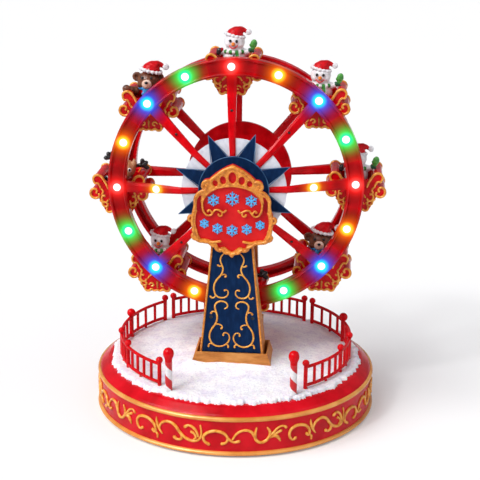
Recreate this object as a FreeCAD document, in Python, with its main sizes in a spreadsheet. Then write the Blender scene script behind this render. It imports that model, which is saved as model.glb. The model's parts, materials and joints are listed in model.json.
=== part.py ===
import FreeCAD, Part
import math
import os
import re
import Sketcher
from FreeCAD import Placement, Rotation, Vector

# A musical table-top Christmas ferris wheel.
# The frame has its origin at the centre of the base on the table, +Z up, and the front faces -Y.
# Lengths are in millimetres and angles in degrees.

DIMENSIONS = {
    # Round base: a red band between two gold rings, with a rounded shoulder up to the deck
    "foot_drop": 1.0,
    "band_radius": 109.4,
    "wall": 2.2,
    "ring_height": 3.6,
    "low_ring_stand": 1.9,
    "high_ring_stand": 1.3,
    "ring_round_share": 0.6,
    "shoulder_height": 31.7,
    "shoulder_round": 5.0,
    "deck_radius": 101.5,
    "deck_height": 37.5,
    "deck_thickness": 2.4,
    # Snow field on the deck
    "snow_radius": 98.2,
    "snow_height": 3.1,
    "snow_lip": 1.8,
    "mound_radius": 46.0,
    "mound_height": 7.1,
    "mound_skirt": 20.0,
    "fence_margin": 5.0,
    # Underside
    "fit_gap": 0.15,
    "cover_thickness": 2.2,
    "foot_radius": 6.0,
    "foot_circle": 94.0,
    "foot_seat": 1.0,
    "boss_radius": 3.6,
    "boss_circle": 88.0,
    "screw_radius": 1.4,
    "screw_head_radius": 2.7,
    "screw_head_height": 1.4,
    "screw_head_sink": 0.2,
    "small_screw_radius": 0.98,
    "screw_length": 10.0,
    "screw_gap": 0.05,
    # Batteries: three AA cells in a tray that opens downward
    "cell_radius": 7.1,
    "cell_length": 49.5,
    "cell_pitch": 15.0,
    "tray_x": -38.0,
    "tray_y": -30.0,
    "tray_wall": 1.5,
    "tray_end_space": 2.6,
    "contact_sheet": 0.4,
    "contact_side": 9.0,
    "contact_button": 2.4,
    # Speaker and circuit board
    "speaker_radius": 20.0,
    "speaker_height": 5.0,
    "magnet_radius": 9.5,
    "magnet_height": 5.0,
    "speaker_x": 38.0,
    "speaker_y": -38.0,
    "grille_hole": 1.2,
    "grille_circle": 12.0,
    "board_length": 46.0,
    "board_width": 30.0,
    "board_thickness": 1.6,
    "board_margin": 32.0,
    "board_y": 20.0,
    "chip_length": 12.0,
    "chip_width": 9.0,
    "chip_height": 2.4,
    "driver_length": 7.0,
    "driver_width": 5.0,
    "driver_height": 1.8,
    "capacitor_radius": 3.2,
    "capacitor_height": 8.0,
    "post_radius": 2.5,
    "post_height": 7.0,
    # Power switch in the back of the band
    "switch_height": 16.5,
    "switch_length": 19.0,
    "switch_depth": 6.0,
    "switch_tall": 8.0,
    "switch_travel": 4.0,
    "knob_length": 4.0,
    "knob_tall": 3.2,
    "knob_stand": 1.6,
    "slot_gap": 0.4,
    # Fence and bollards
    "fence_radius": 91.5,
    "fence_turn": 2.8,
    "post_width": 3.1,
    "large_post_width": 3.7,
    "large_post_rise": 0.6,
    "baluster_width": 2.3,
    "rail_width": 2.5,
    "low_rail": 2.5,
    "high_rail": 17.3,
    "ball_height": 20.4,
    "small_ball": 2.7,
    "large_ball": 3.5,
    "bollard_circle": 95.5,
    "bollard_angle": 29.2,
    "bollard_turn": 2.3,
    "bollard_radius": 2.7,
    "bollard_head": 4.1,
    "bollard_head_height": 29.5,
    "bollard_crown": 3.5,
    "bollard_crown_rise": 1.4,
    # Front tower and its plinth
    "plinth_width": 56.0,
    "plinth_flare": 6.0,
    "plinth_wall": 1.0,
    "plinth_front": 44.5,
    "plinth_depth": 32.0,
    "plinth_top": 56.0,
    "tower_front": 42.5,
    "tower_depth": 28.4,
    "tower_thin": 7.2,
    "tower_foot_half": 24.5,
    "tower_neck_half": 16.2,
    "tower_neck": 140.0,
    "tower_head": 16.0,
    "back_slope_low": 58.0,
    "back_slope_high": 131.0,
    "tower_wall": 1.5,
    "panel_thickness": 1.6,
    "panel_sink": 0.5,
    "tower_screw_x": 16.0,
    "tower_screw_z": 84.5,
    "tower_screw_length": 12.0,
    "pillar_wall": 1.4,
    "bush_boss_wall": 2.0,
    "bush_fit": 0.02,
    # Shield in front of the hub
    "board_plate": 2.0,
    "frame_plate": 2.0,
    "frame_bar": 3.0,
    "frame_inset": 0.3,
    "field_radius": 27.6,
    "field_drop": 20.6,
    # Wheel: local +Z points to the front, from the middle of the axle
    "hub_height": 183.0,
    "wheel_turn": 2.4,
    "axle_radius": 2.0,
    "axle_back": 49.4,
    "axle_end_gap": 0.6,
    "running_gap": 0.05,
    "bush_radius": 3.6,
    "bush_flange": 4.6,
    "bush_lip": 0.8,
    "rim_inner": 84.8,
    "rim_outer": 98.1,
    "rim_depth": 8.0,
    "rim_bead": 2.2,
    "rim_sink": 1.2,
    "front_rim_face": 20.0,
    "rear_rim_face": -31.6,
    "rear_rim_outer": 93.4,
    "rear_channel": 5.0,
    "spoke_root": 20.0,
    "spoke_hub_width": 4.0,
    "spoke_rim_width": 8.0,
    "spoke_ridge": 0.8,
    "hub_plate_radius": 26.0,
    "hub_plate": 1.5,
    "hub_plate_back": 30.8,
    "disc_radius": 39.8,
    "disc_plate": 1.5,
    "star_tip": 46.5,
    "star_disc": 26.7,
    "star_plate": 0.9,
    "star_half_angle": 15.0,
    "rear_disc_radius": 41.2,
    "rear_disc_face": -24.2,
    "rear_disc_plate": 3.0,
    "drum_radius": 9.0,
    "drum_flare": 3.0,
    "drum_lip": 2.0,
    # Lights on the wheel
    "light_circle": 91.5,
    "light_radius": 1.7,
    "light_stand": 0.8,
    "lamp_seat": 3.0,
    "spoke_light_circle": 60.0,
    "spoke_light_radius": 1.1,
    "spoke_hole_lead": 8.0,
    "spoke_hole_depth": 20.0,
    # Drive belt inside the rear post
    "hub_pulley": 8.0,
    "drive_pulley": 4.0,
    "pulley_flange": 1.2,
    "pulley_width": 3.0,
    "pulley_y": 46.5,
    "drive_height": 17.0,
    "drive_shaft": 1.5,
    "shaft_seat": 7.0,
    "belt_gap": 0.3,
    "belt_thickness": 0.9,
    "belt_width": 2.4,
    "motor_side": 20.0,
    "motor_back": 38.0,
    "motor_length": 24.0,
    "can_radius": 8.0,
    "can_length": 20.0,
    # Rear post and its plinth
    "rear_post_front": 42.0,
    "rear_post_depth": 9.4,
    "rear_post_wall": 1.4,
    "rear_foot_half": 16.5,
    "rear_neck_half": 12.0,
    "rear_head": 12.0,
    "rear_neck": 153.0,
    "rear_plinth_margin": 2.5,
    "rear_plinth_top": 53.0,
    # Hanging sleighs
    "pivot_circle": 92.0,
    "pin_radius": 1.5,
    "pin_hole_depth": 2.2,
    "pin_gap": 0.06,
    "seat_depth": 36.0,
    "seat_gap": 0.4,
    "seat_half": 20.0,
    "seat_drop": 23.0,
    "seat_roll": 3.7,
    "tier_roll": 4.3,
    "tier_drop": 8.0,
    "seat_wall": 3.0,
    "seat_boss": 3.4,
    "seat_floor": 9.0,
    "well_half": 12.6,
    # Figures in the sleighs
    "head_radius": 8.0,
    "head_height": 14.5,
    "body_radius": 9.6,
    "brim_radius": 6.6,
    "brim_tube": 1.7,
    "hat_height": 8.6,
    "bobble": 2.3,
    "figure_gap": 0.3,
    "reindeer_drop": 7.0,
    "antler_radius": 1.2,
    "antler_tip": 1.9,
}

SLEIGHS = 8
LIGHT_STEP = 22.5
FACING_FRONT = Rotation(Vector(1, 0, 0), 90)

doc = FreeCAD.newDocument("FerrisWheel")
sheet = doc.addObject("Spreadsheet::Sheet", "Sizes")
for row, (alias, number) in enumerate(DIMENSIONS.items(), start=1):
    sheet.set(f"A{row}", alias)
    sheet.set(f"B{row}", str(number))
    sheet.setAlias(f"B{row}", alias)
doc.recompute()

parts = {}


def size(alias):
    """A plain number from the sheet."""
    return float(sheet.get(alias))


def cell(text):
    """Write sheet names in an expression the way other objects refer to them."""
    return re.sub(r"[a-z_]+", lambda m: "Sizes." + m[0] if m[0] in DIMENSIONS else m[0], text)


def bind(thing, values):
    """Tie properties of an object to expressions in the sheet's names."""
    for name, text in values.items():
        thing.setExpression(name, cell(text))


def put(thing, x="0", y="0", z="0"):
    """Tie an object's position to expressions."""
    bind(thing, {"Placement.Base.x": x, "Placement.Base.y": y, "Placement.Base.z": z})


def keep(label, thing):
    """Name a finished sub-part after its node."""
    thing.Label = label
    parts[label] = thing
    return thing


def primitive(kind, name, values, x="0", y="0", z="0", turn=None):
    """A Part primitive with bound sizes and a bound position."""
    thing = doc.addObject(kind, name)
    if turn:
        thing.Placement.Rotation = turn
    bind(thing, values)
    put(thing, x, y, z)
    return thing


def cylinder(name, radius, length, x="0", y="0", z="0", turn=None):
    return primitive("Part::Cylinder", name, {"Radius": radius, "Height": length}, x, y, z, turn)


def block(name, length, width, height, x="0", y="0", z="0"):
    """A box given by its size, its middle in X and Y and its lowest Z."""
    values = {"Length": length, "Width": width, "Height": height}
    return primitive("Part::Box", name, values, f"{x} - ( {length} ) / 2", f"{y} - ( {width} ) / 2", z)


def ball(name, radius, x="0", y="0", z="0"):
    return primitive("Part::Sphere", name, {"Radius": radius}, x, y, z)


def joined(name, things):
    result = doc.addObject("Part::MultiFuse", name)
    result.Shapes = things
    return result


def cut(name, base, tool):
    result = doc.addObject("Part::Cut", name)
    result.Base = base
    result.Tool = tool
    return result


def group(name, things):
    result = doc.addObject("Part::Compound", name)
    result.Links = things
    return result


def made(label, shape, placement=None):
    """A sub-part whose shape comes from code, for forms that no feature draws."""
    thing = doc.addObject("Part::Feature", label)
    thing.Shape = shape
    if placement:
        thing.Placement = placement
    return keep(label, thing)


def new_body(label):
    return keep(label, doc.addObject("PartDesign::Body", label))


def origin_feature(body, role):
    return [f for f in body.Origin.OriginFeatures if f.Role == role][0]


def new_sketch(body, role, name, lift=None):
    """A sketch on one of the body's own origin planes, lifted off it where asked."""
    sketch = body.newObject("Sketcher::SketchObject", name)
    sketch.AttachmentSupport = (origin_feature(body, role), [""])
    sketch.MapMode = "FlatFace"
    if lift:
        sketch.setExpression("AttachmentOffset.Base.z", cell(lift))
    return sketch


def place_point(sketch, index, position, x, y):
    """Hold one point of a sketch at bound coordinates."""
    for kind, text in (("DistanceX", x), ("DistanceY", y)):
        number = float(sheet.evalExpression(text))
        where = sketch.addConstraint(Sketcher.Constraint(kind, -1, 1, index, position, number))
        sketch.setExpression(f"Constraints[{where}]", cell(text))


def draw_polygon(sketch, corners):
    """A closed outline through corners given as pairs of expressions."""
    first = sketch.GeometryCount
    points = [Vector(*(float(sheet.evalExpression(text)) for text in corner)) for corner in corners]
    count = len(points)
    for i in range(count):
        sketch.addGeometry(Part.LineSegment(points[i], points[(i + 1) % count]))
    for i in range(count):
        after = first + (i + 1) % count
        sketch.addConstraint(Sketcher.Constraint("Coincident", first + i, 2, after, 1))
    for i, (x, y) in enumerate(corners):
        place_point(sketch, first + i, 1, x, y)


def draw_circle(sketch, radius, x="0", y="0"):
    centre = Vector(float(sheet.evalExpression(x)), float(sheet.evalExpression(y)))
    reach = float(sheet.evalExpression(radius))
    index = sketch.addGeometry(Part.Circle(centre, Vector(0, 0, 1), reach))
    place_point(sketch, index, 3, x, y)
    where = sketch.addConstraint(Sketcher.Constraint("Radius", index, reach))
    sketch.setExpression(f"Constraints[{where}]", cell(radius))


def revolve(body, corners, name="Turned"):
    """Turn an outline of (radius, height) corners round the body's Z axis."""
    sketch = new_sketch(body, "XZ_Plane", name + "Profile")
    draw_polygon(sketch, corners)
    turned = body.newObject("PartDesign::Revolution", name)
    turned.Profile = sketch
    turned.ReferenceAxis = (sketch, ["V_Axis"])
    turned.Angle = 360
    return turned


def pad(body, sketch, length, name="Pad", both_ways=False, backward=False):
    feature = body.newObject("PartDesign::Pad", name)
    feature.Profile = sketch
    bind(feature, {"Length": length})
    if both_ways:
        feature.SideType = "Symmetric"
    feature.Reversed = backward
    return feature


def pocket(body, sketch, length, name="Pocket", both_ways=False, backward=False):
    feature = body.newObject("PartDesign::Pocket", name)
    feature.Profile = sketch
    bind(feature, {"Length": length})
    if both_ways:
        feature.SideType = "Symmetric"
    feature.Reversed = backward
    return feature


def polar(body, feature, count, name):
    """Repeat a feature evenly round the body's Z axis."""
    pattern = body.newObject("PartDesign::PolarPattern", name)
    pattern.Originals = [feature]
    pattern.Axis = (origin_feature(body, "Z_Axis"), [""])
    pattern.Angle = 360
    pattern.Occurrences = count
    body.Tip = pattern
    return pattern


def round_circles(body, radius, wanted):
    """Fillet the circular edges whose (radius, height) passes a test."""
    doc.recompute()
    base = body.Tip
    names = []
    for i, edge in enumerate(base.Shape.Edges, start=1):
        if isinstance(edge.Curve, Part.Circle) and wanted(edge.Curve.Radius, edge.Curve.Center.z):
            names.append(f"Edge{i}")
    fillet = body.newObject("PartDesign::Fillet", "Rounding")
    fillet.Base = (base, names)
    bind(fillet, {"Radius": radius})
    return fillet


# Places that several sub-parts share, as expressions in the sheet's names
COVER_TOP = "foot_drop + cover_thickness"
BOARD_X = "( band_radius - board_margin - board_length / 2 )"
SNOW_TOP = "deck_height + snow_height"
MOUND_TOP = "deck_height + snow_height + mound_height"
TOWER_BACK = "tower_depth - tower_front"
THIN_BACK = "tower_thin - tower_front"
DISC_BACK = "hub_plate_back - disc_plate"
STAR_BACK = "hub_plate_back + hub_plate"
RIM_BACK = "front_rim_face - rim_depth"


def base_shell():
    """Red band, rounded shoulder and flat deck in one moulding, with screw bosses under the deck."""
    body = new_body("base_shell")
    inner = "band_radius - wall"
    under = "deck_height - deck_thickness"
    revolve(body, [
        ("0", "deck_height"),
        ("deck_radius", "deck_height"),
        ("band_radius", "shoulder_height"),
        ("band_radius", "foot_drop"),
        (inner, "foot_drop"),
        (inner, "shoulder_height - deck_thickness / 2"),
        ("deck_radius - deck_thickness / 2", under),
        ("0", under),
    ])
    lowest = size("shoulder_height") - 0.1
    round_circles(body, "shoulder_round", lambda r, z: r >= size("deck_radius") - 0.01 and z > lowest)
    bosses = new_sketch(body, "XY_Plane", "BossCircle", COVER_TOP)
    angle = math.radians(45)
    along = f"boss_circle * {math.cos(angle):.6f}"
    draw_circle(bosses, "boss_radius", along, along)
    draw_circle(bosses, "screw_radius + screw_gap", along, along)
    boss = pad(body, bosses, f"deck_height - deck_thickness / 2 - ( {COVER_TOP} )", "Boss")
    polar(body, boss, 4, "Bosses")
    belt_way = new_sketch(body, "XY_Plane", "BeltWayOutline", "deck_height")
    draw_belt_way(belt_way)
    pocket(body, belt_way, "deck_thickness * 2", "BeltWay", both_ways=True)
    slot = new_sketch(body, "XZ_Plane", "SwitchSlotOutline")
    half = "( knob_length + switch_travel ) / 2 + slot_gap"
    draw_rectangle(slot, half, "switch_height", "knob_tall / 2 + slot_gap")
    pocket(body, slot, "band_radius + wall", "SwitchSlot")
    return body


def draw_rectangle(sketch, half_width, middle, half_height):
    """A rectangle centred on the sketch's vertical axis."""
    draw_polygon(sketch, [
        (f"-( {half_width} )", f"{middle} - ( {half_height} )"),
        (half_width, f"{middle} - ( {half_height} )"),
        (half_width, f"{middle} + {half_height}"),
        (f"-( {half_width} )", f"{middle} + {half_height}"),
    ])


def draw_belt_way(sketch):
    """The opening that the belt passes, inside the rear post's foot."""
    middle = "pulley_y"
    half_width = "rear_foot_half - rear_post_wall - 1"
    draw_rectangle(sketch, half_width, middle, "pulley_width / 2 + belt_gap")


def base_trim_rings():
    """Two gold rings round the band: one at the table and one at the shoulder."""
    rings = []
    for name, low, stand in (
        ("LowRing", "foot_drop", "low_ring_stand"),
        ("HighRing", "shoulder_height - ring_height", "high_ring_stand"),
    ):
        outer = cylinder(name + "Outside", f"band_radius + {stand}", "ring_height", z=low)
        bore = cylinder(name + "Bore", "band_radius", "ring_height", z=low)
        ring = cut(name, outer, bore)
        doc.recompute()
        edge = [
            i for i, e in enumerate(ring.Shape.Edges, start=1)
            if isinstance(e.Curve, Part.Circle) and e.Curve.Radius > size("band_radius") + 0.1
        ]
        rounded = doc.addObject("Part::Fillet", name + "Rounded")
        rounded.Base = ring
        radius = size("ring_round_share") * size(stand)
        rounded.Edges = [(i, radius, radius) for i in edge]
        rings.append(rounded)
    keep("base_trim_rings", group("TrimRings", rings))


def flared_block(name):
    """The front plinth's outside: upright at the front and back, with sides that spread downward."""
    foot = "plinth_width / 2 + plinth_flare"
    values = {
        "Xmin": f"-( {foot} )",
        "Xmax": foot,
        "X2min": "-plinth_width / 2",
        "X2max": "plinth_width / 2",
        "Ymin": "0",
        "Ymax": "plinth_top - deck_height",
        "Zmin": "0",
        "Zmax": "plinth_depth",
        "Z2min": "0",
        "Z2max": "plinth_depth",
    }
    y = "plinth_depth - plinth_front"
    return primitive("Part::Wedge", name, values, y=y, z="deck_height", turn=FACING_FRONT)


def snow_ground():
    """A snow field that is level under the fence and mounds up to the towers."""
    field = doc.addObject("PartDesign::Body", "SnowField")
    revolve(field, [
        ("0", "deck_height"),
        ("snow_radius", "deck_height"),
        ("snow_radius", "deck_height + snow_height / 2"),
        ("snow_radius - snow_lip", SNOW_TOP),
        ("fence_radius - fence_margin", SNOW_TOP),
        ("mound_radius + mound_skirt", f"{SNOW_TOP} + mound_height * 0.45"),
        ("mound_radius", MOUND_TOP),
        ("0", MOUND_TOP),
    ])
    front = flared_block("FrontPlinthSeat")
    rear_width = "rear_foot_half * 2 + rear_plinth_margin * 2"
    rear_depth = "rear_post_depth + rear_plinth_margin * 2"
    rear = block("RearPlinthSeat", rear_width, rear_depth, "rear_plinth_top",
                 y="rear_post_front + rear_post_depth / 2")
    seats = joined("PlinthSeats", [front, rear])
    keep("snow_ground", cut("Snow", field, seats))


def bottom_cover():
    """The plate that closes the base, with the battery opening, sound holes, posts and a motor step."""
    body = new_body("bottom_cover")
    disc = new_sketch(body, "XY_Plane", "CoverDisc", "foot_drop")
    draw_circle(disc, "band_radius - wall - fit_gap")
    pad(body, disc, "cover_thickness", "Plate")
    posts = new_sketch(body, "XY_Plane", "BoardPosts", COVER_TOP)
    for side in ("+", "-"):
        for end in ("+", "-"):
            x = f"{BOARD_X} {side} ( board_length / 2 - post_radius )"
            y = f"board_y {end} ( board_width / 2 - post_radius )"
            draw_circle(posts, "post_radius", x, y)
    pad(body, posts, "post_height", "Posts")
    step = new_sketch(body, "XY_Plane", "MotorStepOutline", COVER_TOP)
    draw_rectangle(step, "motor_side / 2", "motor_back - motor_length / 2", "motor_length / 2")
    pad(body, step, f"drive_height - motor_side / 2 - ( {COVER_TOP} )", "MotorStep")
    opening = new_sketch(body, "XY_Plane", "BatteryOpening", "foot_drop")
    draw_battery_rectangle(opening, "fit_gap")
    pocket(body, opening, "cover_thickness", "BatteryWindow", backward=True)
    foot = new_sketch(body, "XY_Plane", "FootSeatCircle", "foot_drop")
    draw_circle(foot, "foot_radius + screw_gap", "foot_circle")
    foot_seat = pocket(body, foot, "foot_seat", "FootSeat", backward=True)
    polar(body, foot_seat, 4, "FootSeats")
    angle = math.radians(45)
    along = f"boss_circle * {math.cos(angle):.6f}"
    hole = new_sketch(body, "XY_Plane", "ScrewHoleCircle", "foot_drop")
    draw_circle(hole, "screw_radius + screw_gap", along, along)
    polar(body, pocket(body, hole, "cover_thickness", "ScrewHole", backward=True), 4, "ScrewHoles")
    head = new_sketch(body, "XY_Plane", "ScrewHeadCircle", "foot_drop")
    draw_circle(head, "screw_head_radius + screw_gap", along, along)
    head_seat = pocket(body, head, "screw_head_height", "ScrewHead", backward=True)
    polar(body, head_seat, 4, "ScrewHeads")
    grille = new_sketch(body, "XY_Plane", "SoundHoles", "foot_drop")
    draw_circle(grille, "grille_hole", "speaker_x", "speaker_y")
    for i in range(8):
        turn = math.radians(45 * i)
        x = f"speaker_x + grille_circle * {math.cos(turn):.6f}"
        y = f"speaker_y + grille_circle * {math.sin(turn):.6f}"
        draw_circle(grille, "grille_hole", x, y)
    pocket(body, grille, "cover_thickness", "Grille", backward=True)


TRAY_LENGTH = "cell_length + tray_end_space * 2 + tray_wall * 2"
TRAY_WIDTH = "cell_pitch * 3 + tray_wall * 2"
DOOR_LENGTH = "cell_length + tray_end_space * 2"
DOOR_WIDTH = "cell_pitch * 3"


def draw_battery_rectangle(sketch, margin):
    half_x = f"( {DOOR_LENGTH} ) / 2 + {margin}"
    half_y = f"( {DOOR_WIDTH} ) / 2 + {margin}"
    draw_polygon(sketch, [
        (f"tray_x - ( {half_x} )", f"tray_y - ( {half_y} )"),
        (f"tray_x + {half_x}", f"tray_y - ( {half_y} )"),
        (f"tray_x + {half_x}", f"tray_y + {half_y}"),
        (f"tray_x - ( {half_x} )", f"tray_y + {half_y}"),
    ])


def battery_box():
    """Tray, door, three cells and their sheet contacts."""
    room = "cell_radius * 2 + fit_gap * 2"
    outside = block("TrayOutside", TRAY_LENGTH, TRAY_WIDTH, f"{room} + tray_wall",
                    "tray_x", "tray_y", COVER_TOP)
    inside = block("TrayInside", DOOR_LENGTH, DOOR_WIDTH, room, "tray_x", "tray_y", COVER_TOP)
    keep("battery_tray", cut("Tray", outside, inside))
    door = block("Door", DOOR_LENGTH, DOOR_WIDTH, "cover_thickness", "tray_x", "tray_y", "foot_drop")
    keep("battery_door", door)
    lengthwise = Rotation(Vector(0, 1, 0), 90)
    level = f"{COVER_TOP} + fit_gap + cell_radius"
    cells = []
    contacts = []
    for lane in (-1, 0, 1):
        y = f"tray_y + cell_pitch * {lane}"
        start = "tray_x - cell_length / 2"
        cells.append(cylinder("Cell", "cell_radius", "cell_length", start, y, level, lengthwise))
        for end in (-1, 1):
            wall = f"tray_x + {end} * ( ( {DOOR_LENGTH} ) / 2 - contact_sheet / 2 )"
            sheet_piece = block("ContactSheet", "contact_sheet", "contact_side", "contact_side", wall, y,
                                f"{level} - contact_side / 2")
            reach = "tray_end_space - contact_sheet"
            start = f"tray_x + {end} * ( cell_length / 2 + ( {reach} ) / 2 ) - ( {reach} ) / 2"
            button = cylinder("ContactButton", "contact_button", reach, start, y, level, lengthwise)
            contacts.append(joined("Contact", [sheet_piece, button]))
    keep("aa_batteries", group("Cells", cells))
    keep("battery_contacts", group("Contacts", contacts))


def electronics():
    """Speaker, circuit board and the rear switch with its sliding knob."""
    speaker = new_body("speaker")
    cone = f"speaker_height + {COVER_TOP}"
    revolve(speaker, [
        ("0", COVER_TOP),
        ("speaker_radius", COVER_TOP),
        ("speaker_radius", cone),
        ("magnet_radius", cone),
        ("magnet_radius", f"{cone} + magnet_height"),
        ("0", f"{cone} + magnet_height"),
    ])
    put(speaker, "speaker_x", "speaker_y")
    level = f"{COVER_TOP} + post_height"
    top = f"{level} + board_thickness"
    plate = block("BoardPlate", "board_length", "board_width", "board_thickness", BOARD_X, "board_y", level)
    chip = block("MelodyChip", "chip_length", "chip_width", "chip_height",
                 f"{BOARD_X} - board_length * 0.17", "board_y + board_width * 0.07", top)
    driver = block("LightDriver", "driver_length", "driver_width", "driver_height",
                   f"{BOARD_X} + board_length * 0.22", "board_y - board_width * 0.2", top)
    capacitor = cylinder("Capacitor", "capacitor_radius", "capacitor_height",
                         f"{BOARD_X} + board_length * 0.3", "board_y + board_width * 0.27", top)
    keep("circuit_board", joined("Board", [plate, chip, driver, capacitor]))
    back = "band_radius - wall - 1"
    body = block("SwitchBox", "switch_length", "switch_depth", "switch_tall",
                 y=f"{back} - switch_depth / 2", z="switch_height - switch_tall / 2")
    keep("power_switch_body", body)
    root = f"{back} + fit_gap"
    out = "band_radius + knob_stand"
    knob = block("Knob", "knob_length", f"{out} - ( {root} )", "knob_tall", x="-switch_travel / 2",
                 y=f"( {out} + {root} ) / 2", z="switch_height - knob_tall / 2")
    keep("power_switch_knob", knob)


def screws_and_feet():
    """Self-tapping screws in the cover and the tower, and four rubber feet."""
    angle = math.radians(45)
    along = f"boss_circle * {math.cos(angle):.6f}"
    screws = []
    for sx in (-1, 1):
        for sy in (-1, 1):
            x = f"{sx} * {along}"
            y = f"{sy} * {along}"
            head_low = "foot_drop + screw_head_sink"
            head_height = "screw_head_height - screw_head_sink"
            head = cylinder("ScrewHead", "screw_head_radius", head_height, x, y, head_low)
            shank = cylinder("ScrewShank", "screw_radius", "screw_length", x, y, head_low)
            screws.append(joined("Screw", [head, shank]))
    forward = Rotation(Vector(1, 0, 0), -90)
    for side in (-1, 1):
        x = f"{side} * tower_screw_x"
        y = "panel_sink + 0.4 - tower_front"
        head = cylinder("TowerScrewHead", "screw_radius", "1", x, y, "tower_screw_z", forward)
        shank = cylinder("TowerScrewShank", "small_screw_radius", "tower_screw_length", x, y,
                         "tower_screw_z", forward)
        screws.append(joined("TowerScrew", [head, shank]))
    keep("housing_screws", group("Screws", screws))
    feet = []
    for i in range(4):
        turn = math.radians(90 * i)
        x = f"foot_circle * {math.cos(turn):.0f}"
        y = f"foot_circle * {math.sin(turn):.0f}"
        feet.append(cylinder("Foot", "foot_radius", "foot_drop + foot_seat", x, y))
    keep("rubber_feet", group("Feet", feet))


def upright_bar(width, low, high, angle, radius):
    """A round bar standing on the snow at an angle round the base."""
    bar = Part.makeCylinder(width / 2, high - low)
    bar.translate(Vector(radius * math.sin(angle), -radius * math.cos(angle), low))
    return bar


def curved_rail(start, end, level, width, radius):
    """A round rail bent along the fence circle between two angles."""
    profile = Part.Wire(Part.makeCircle(width / 2, Vector(0, -radius, level), Vector(1, 0, 0)))
    face = Part.Face(profile)
    face.rotate(Vector(0, 0, 0), Vector(0, 0, 1), math.degrees(start))
    return face.revolve(Vector(0, 0, 0), Vector(0, 0, 1), math.degrees(end - start))


def fence_panel(label, posts, large, bays):
    """One fence moulding: posts with balls, two rails and evenly spaced balusters in each bay."""
    ground = size("deck_height") + size("snow_height")
    radius = size("fence_radius")
    pieces = []
    turns = [math.radians(a + size("fence_turn")) for a in posts]
    for degrees, turn in zip(posts, turns):
        is_large = degrees in large
        top = size("ball_height") + (size("large_post_rise") if is_large else 0.0)
        width = size("large_post_width") if is_large else size("post_width")
        pieces.append(upright_bar(width, ground, ground + top, turn, radius))
        head = Part.makeSphere(size("large_ball") if is_large else size("small_ball"))
        head.translate(Vector(radius * math.sin(turn), -radius * math.cos(turn), ground + top))
        pieces.append(head)
    for level in (size("low_rail"), size("high_rail")):
        pieces.append(curved_rail(turns[0], turns[-1], ground + level, size("rail_width"), radius))
    for i, count in enumerate(bays):
        for k in range(1, count + 1):
            turn = turns[i] + (turns[i + 1] - turns[i]) * k / (count + 1)
            low = ground + size("low_rail")
            high = ground + size("high_rail")
            pieces.append(upright_bar(size("baluster_width"), low, high, turn, radius))
        middle = (turns[i] + turns[i + 1]) / 2
        pieces.append(upright_bar(size("baluster_width"), ground, ground + size("low_rail"), middle, radius))
    made(label, pieces[0].multiFuse(pieces[1:]).removeSplitter())


def fence():
    """Three fence mouldings round the snow, open at the front between the bollards."""
    fence_panel("fence_left", [-136.5, -107.0, -82.0, -64.5, -37.0], [-107.0], [3, 3, 2, 4])
    fence_panel("fence_right", [37.0, 64.5, 82.0, 107.0, 136.5], [107.0], [4, 2, 3, 3])
    fence_panel("fence_rear", [142.0, 218.0], [], [15])


def bollards():
    """A pair of candy-striped bollards with egg-shaped heads at the gap in the fence."""
    stands = []
    for side in (-1, 1):
        turn = math.radians(side * size("bollard_angle") + size("bollard_turn"))
        x = f"bollard_circle * {math.sin(turn):.6f}"
        y = f"-bollard_circle * {math.cos(turn):.6f}"
        column = cylinder("Column", "bollard_radius", "bollard_head_height", x, y, SNOW_TOP)
        head = ball("EggHead", "bollard_head", x, y, f"{SNOW_TOP} + bollard_head_height")
        crown_level = f"{SNOW_TOP} + bollard_head_height + bollard_crown_rise"
        crown = ball("EggCrown", "bollard_crown", x, y, crown_level)
        stands.append(joined("Bollard", [column, head, crown]))
    keep("candy_bollards", group("Bollards", stands))


def tower_outline(post, low, inset):
    """A tapering post with a round head about the hub, drawn in front view from a height up.

    The post gives its half widths at the plinth's top and at the neck, its head's radius and those two
    heights. Every edge is drawn in by inset.
    """
    foot_half, neck_half, head, plinth, neck = post
    foot = low
    foot_half += (foot_half - neck_half) * (plinth - low) / (neck - plinth)
    hub = size("hub_height")
    reach = head - inset
    corners = [
        Vector(-(foot_half - inset), 0, foot),
        Vector(foot_half - inset, 0, foot),
        Vector(neck_half - inset, 0, neck),
        Vector(reach, 0, hub),
    ]
    edges = [Part.LineSegment(a, b).toShape() for a, b in zip(corners, corners[1:])]
    edges.append(Part.Arc(corners[3], Vector(0, 0, hub + reach), Vector(-reach, 0, hub)).toShape())
    left = [Vector(-reach, 0, hub), Vector(-(neck_half - inset), 0, neck), corners[0]]
    edges += [Part.LineSegment(a, b).toShape() for a, b in zip(left, left[1:])]
    return Part.Face(Part.Wire(edges))


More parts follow.
